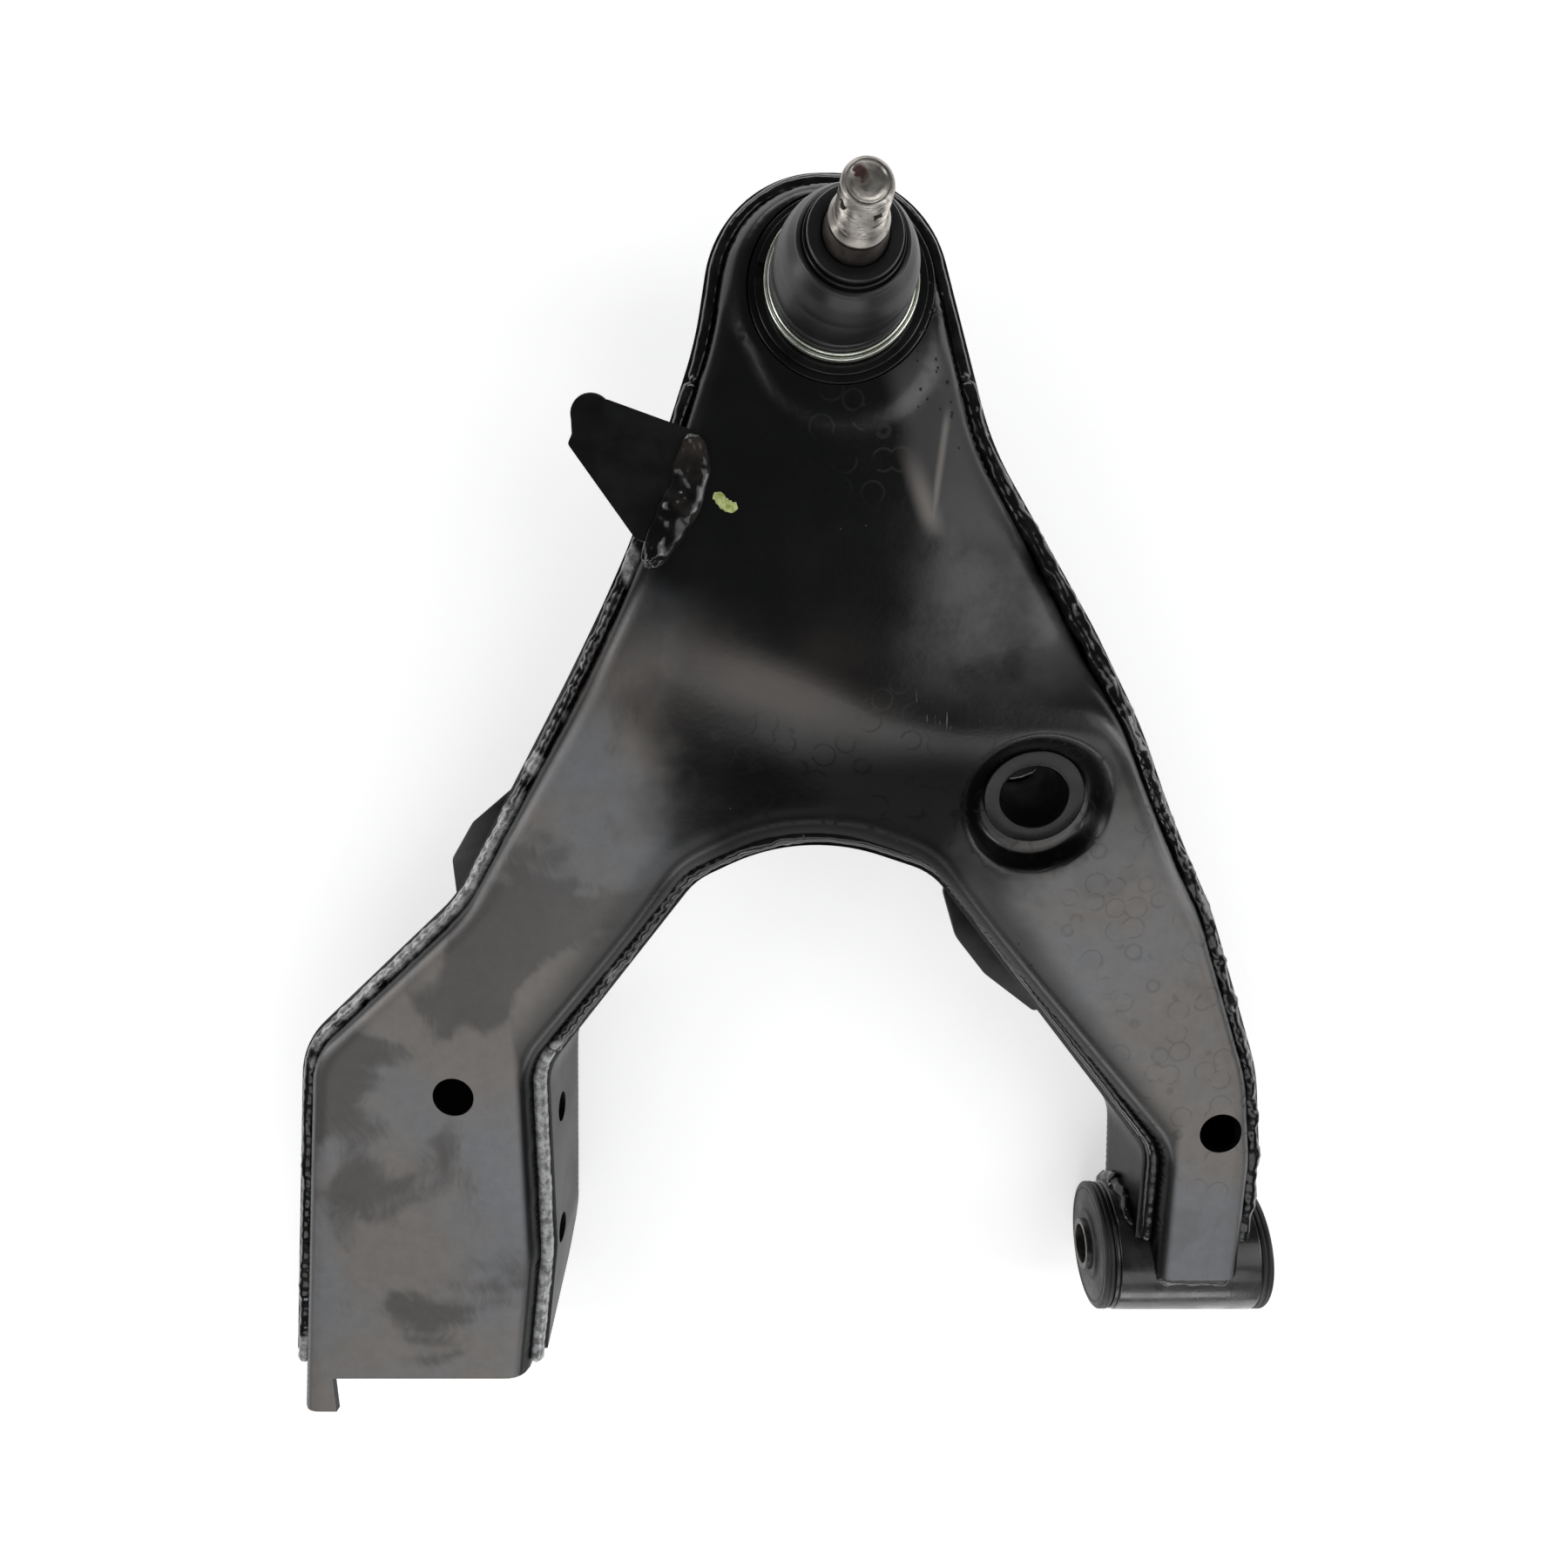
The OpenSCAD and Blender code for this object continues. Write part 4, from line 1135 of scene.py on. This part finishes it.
tube_weld("tube_weld_inner", INNER_X - 0.8, "weld_tube_inner", -56, 46, 3.7, 0.30, 31.0)
tube_weld("tube_weld_outer", OUTER_X + 0.8, "weld_tube_outer", -66, 34, 3.0, 0.14, 37.0)
bead("tube_weld_end", [(-17 + 0.9 * i, RIGHT_END_Y - 1.6, 30.3) for i in range(39)], 3.0, TUBE,
     ["weld_tube_end"], lump=0.35, seed=41.0)


# ---- brace lips and seat weld ----

slab("brace_left", closed_path([(-317, 234, 4), (-311, 238, 0), (-295, 220, 0), (-329, 176, 0),
                                (-345, 180, 4), (-347, 200, 5), (-337, 217, 6)], 1.5),
     22, 26, "left_brace_lip")
slab("brace_arch", closed_path([(-119, 184, 4), (-107, 190, 0), (-65, 140, 0), (-72, 122, 3),
                                (-98, 142, 14), (-112, 160, 14)], 1.5), 8, 12, "arch_brace_lip")
bead("seat_weld", [(bx + 37.4 * math.cos(i * math.pi / 100), by + 37.4 * math.sin(i * math.pi / 100),
                    NOSE_BOTTOM - 0.6) for i in range(201)], 2.8, WELD, ["weld_seat_ring"],
     seed=51.0)


# ---- marks on the paint ----

def paint_dab(seg=12):
    """A small curved dab of marking paint on the platform."""
    pts = smooth_line([(-220.5, 352.5, 1.2), (-218.5, 352.0, 2.0), (-216.2, 349.6, 2.3),
                       (-213.6, 348.2, 2.2), (-211.2, 348.8, 1.3)], 8)
    verts = []
    for _, x, y, w, side in with_sides(pts):
        for s in turns(seg):
            ww = w * (1 + 0.25 * noise.noise(Vector((x, y, math.cos(s)))))
            verts.append((x + side[0] * ww * math.cos(s), y + side[1] * ww * math.cos(s),
                          PLATFORM_Z + 0.45 * math.sin(s)))
    solid("paint_dab", verts, swept_faces(len(pts), seg), DAB, slot="shell_coat", sharp=80)


paint_dab()


def blisters():
    """Small paint blisters by the seam on the joint's right side and on the right leg."""
    spots = [(-137.4, 431.6), (-139.3, 423.2), (-138.9, 414.5), (-140.9, 413.5), (-127.8, 388.5),
             (-127.7, 382.9), (-137.3, 421.0), (-124.6, 371.0), (-134.2, 404.0), (-12.0, 176.0),
             (-92.0, 168.0), (-86.0, 158.0)]
    spots += [(-136 + random.uniform(-6, 9), 400 + random.uniform(-18, 30)) for _ in range(12)]
    verts, faces = [], []
    for x, y in spots:
        z = float(top(np.array([x]), np.array([y]))[0])
        r = random.uniform(0.45, 0.85)
        base = len(verts)
        verts.append((x, y, z + 0.5 * r))
        for s, h in ((0.5, 0.42), (0.85, 0.2), (1.0, -0.3)):
            verts += [(x + r * s * math.cos(a), y + r * s * math.sin(a), z + h * r)
                      for a in (i * math.pi / 5 for i in range(10))]
        for i in range(10):
            j = (i + 1) % 10
            faces.append((base, base + 1 + i, base + 1 + j))
            for k in (1, 11):
                faces.append((base + k + i, base + k + 10 + i, base + k + 10 + j, base + k + j))
        faces.append(tuple(base + 21 + i for i in range(9, -1, -1)))
    solid("paint_blisters", verts, faces, BRACKET, slot="shell_coat", sharp=80)


blisters()


# ---- stage ----

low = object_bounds()[0].z
floor = mesh_object("floor", [(-6, -6, low), (6, -6, low), (6, 6, low), (-6, 6, low)], [(0, 1, 2, 3)])
pale = Nodes("floor_pale")
pale.set(Base_Color=pale.mix(pale.noise(3.0), 0.80, 0.84), Roughness=0.9,
         Emission_Color=(1.0, 1.0, 1.0), Emission_Strength=0.55)
floor.data.materials.append(pale.material)

CENTRE = Vector((-0.19, 0.22, 0.03))


def softbox(name, azimuth, tilt, distance, size, radiance):
    """A soft light tilt degrees from straight up, toward an azimuth measured from +X to +Y."""
    data = bpy.data.lights.new(name, "AREA")
    data.shape, data.size, data.size_y = "RECTANGLE", size[0], size[1]
    data.energy = radiance * math.pi * size[0] * size[1]
    a, t = math.radians(azimuth), math.radians(tilt)
    d = Vector((math.sin(t) * math.cos(a), math.sin(t) * math.sin(a), math.cos(t))).normalized()
    obj = add_object(name, data)
    obj.location = CENTRE + d * distance
    obj.rotation_euler = (-d).to_track_quat("-Z", "Y").to_euler()


softbox("box_front", -90, 38, 1.7, (2.4, 0.62), 1.6)
softbox("box_right", 0, 42, 1.7, (1.0, 1.3), 1.5)
softbox("box_left", 180, 58, 1.8, (0.8, 1.6), 1.3)
softbox("rim_back", 90, 72, 1.9, (2.0, 0.45), 4.0)
softbox("rim_front", -90, 74, 1.9, (2.0, 0.40), 4.0)
softbox("rim_right", 0, 74, 1.9, (0.40, 2.0), 4.0)
softbox("rim_left", 180, 76, 1.9, (0.35, 2.0), 4.0)
world = bpy.data.worlds.new("studio")
world.use_nodes = True
background = world.node_tree.nodes["Background"]
background.inputs[0].default_value = (0.9, 0.93, 1.0, 1)
background.inputs[1].default_value = 0.06
scene = bpy.context.scene
scene.world = world
scene.view_settings.view_transform = "Standard"

cam_data = bpy.data.cameras.new("camera")
cam_data.sensor_width, cam_data.lens = 36, 23
cam_data.shift_x = -1 / 120  # of the frame's width
cam_data.clip_start = 0.01
camera = add_object("camera", cam_data)
camera.location = (-0.1878, 0.2746, 0.4829)
camera.rotation_euler = (math.radians(-5), 0, 0)
scene.camera = camera
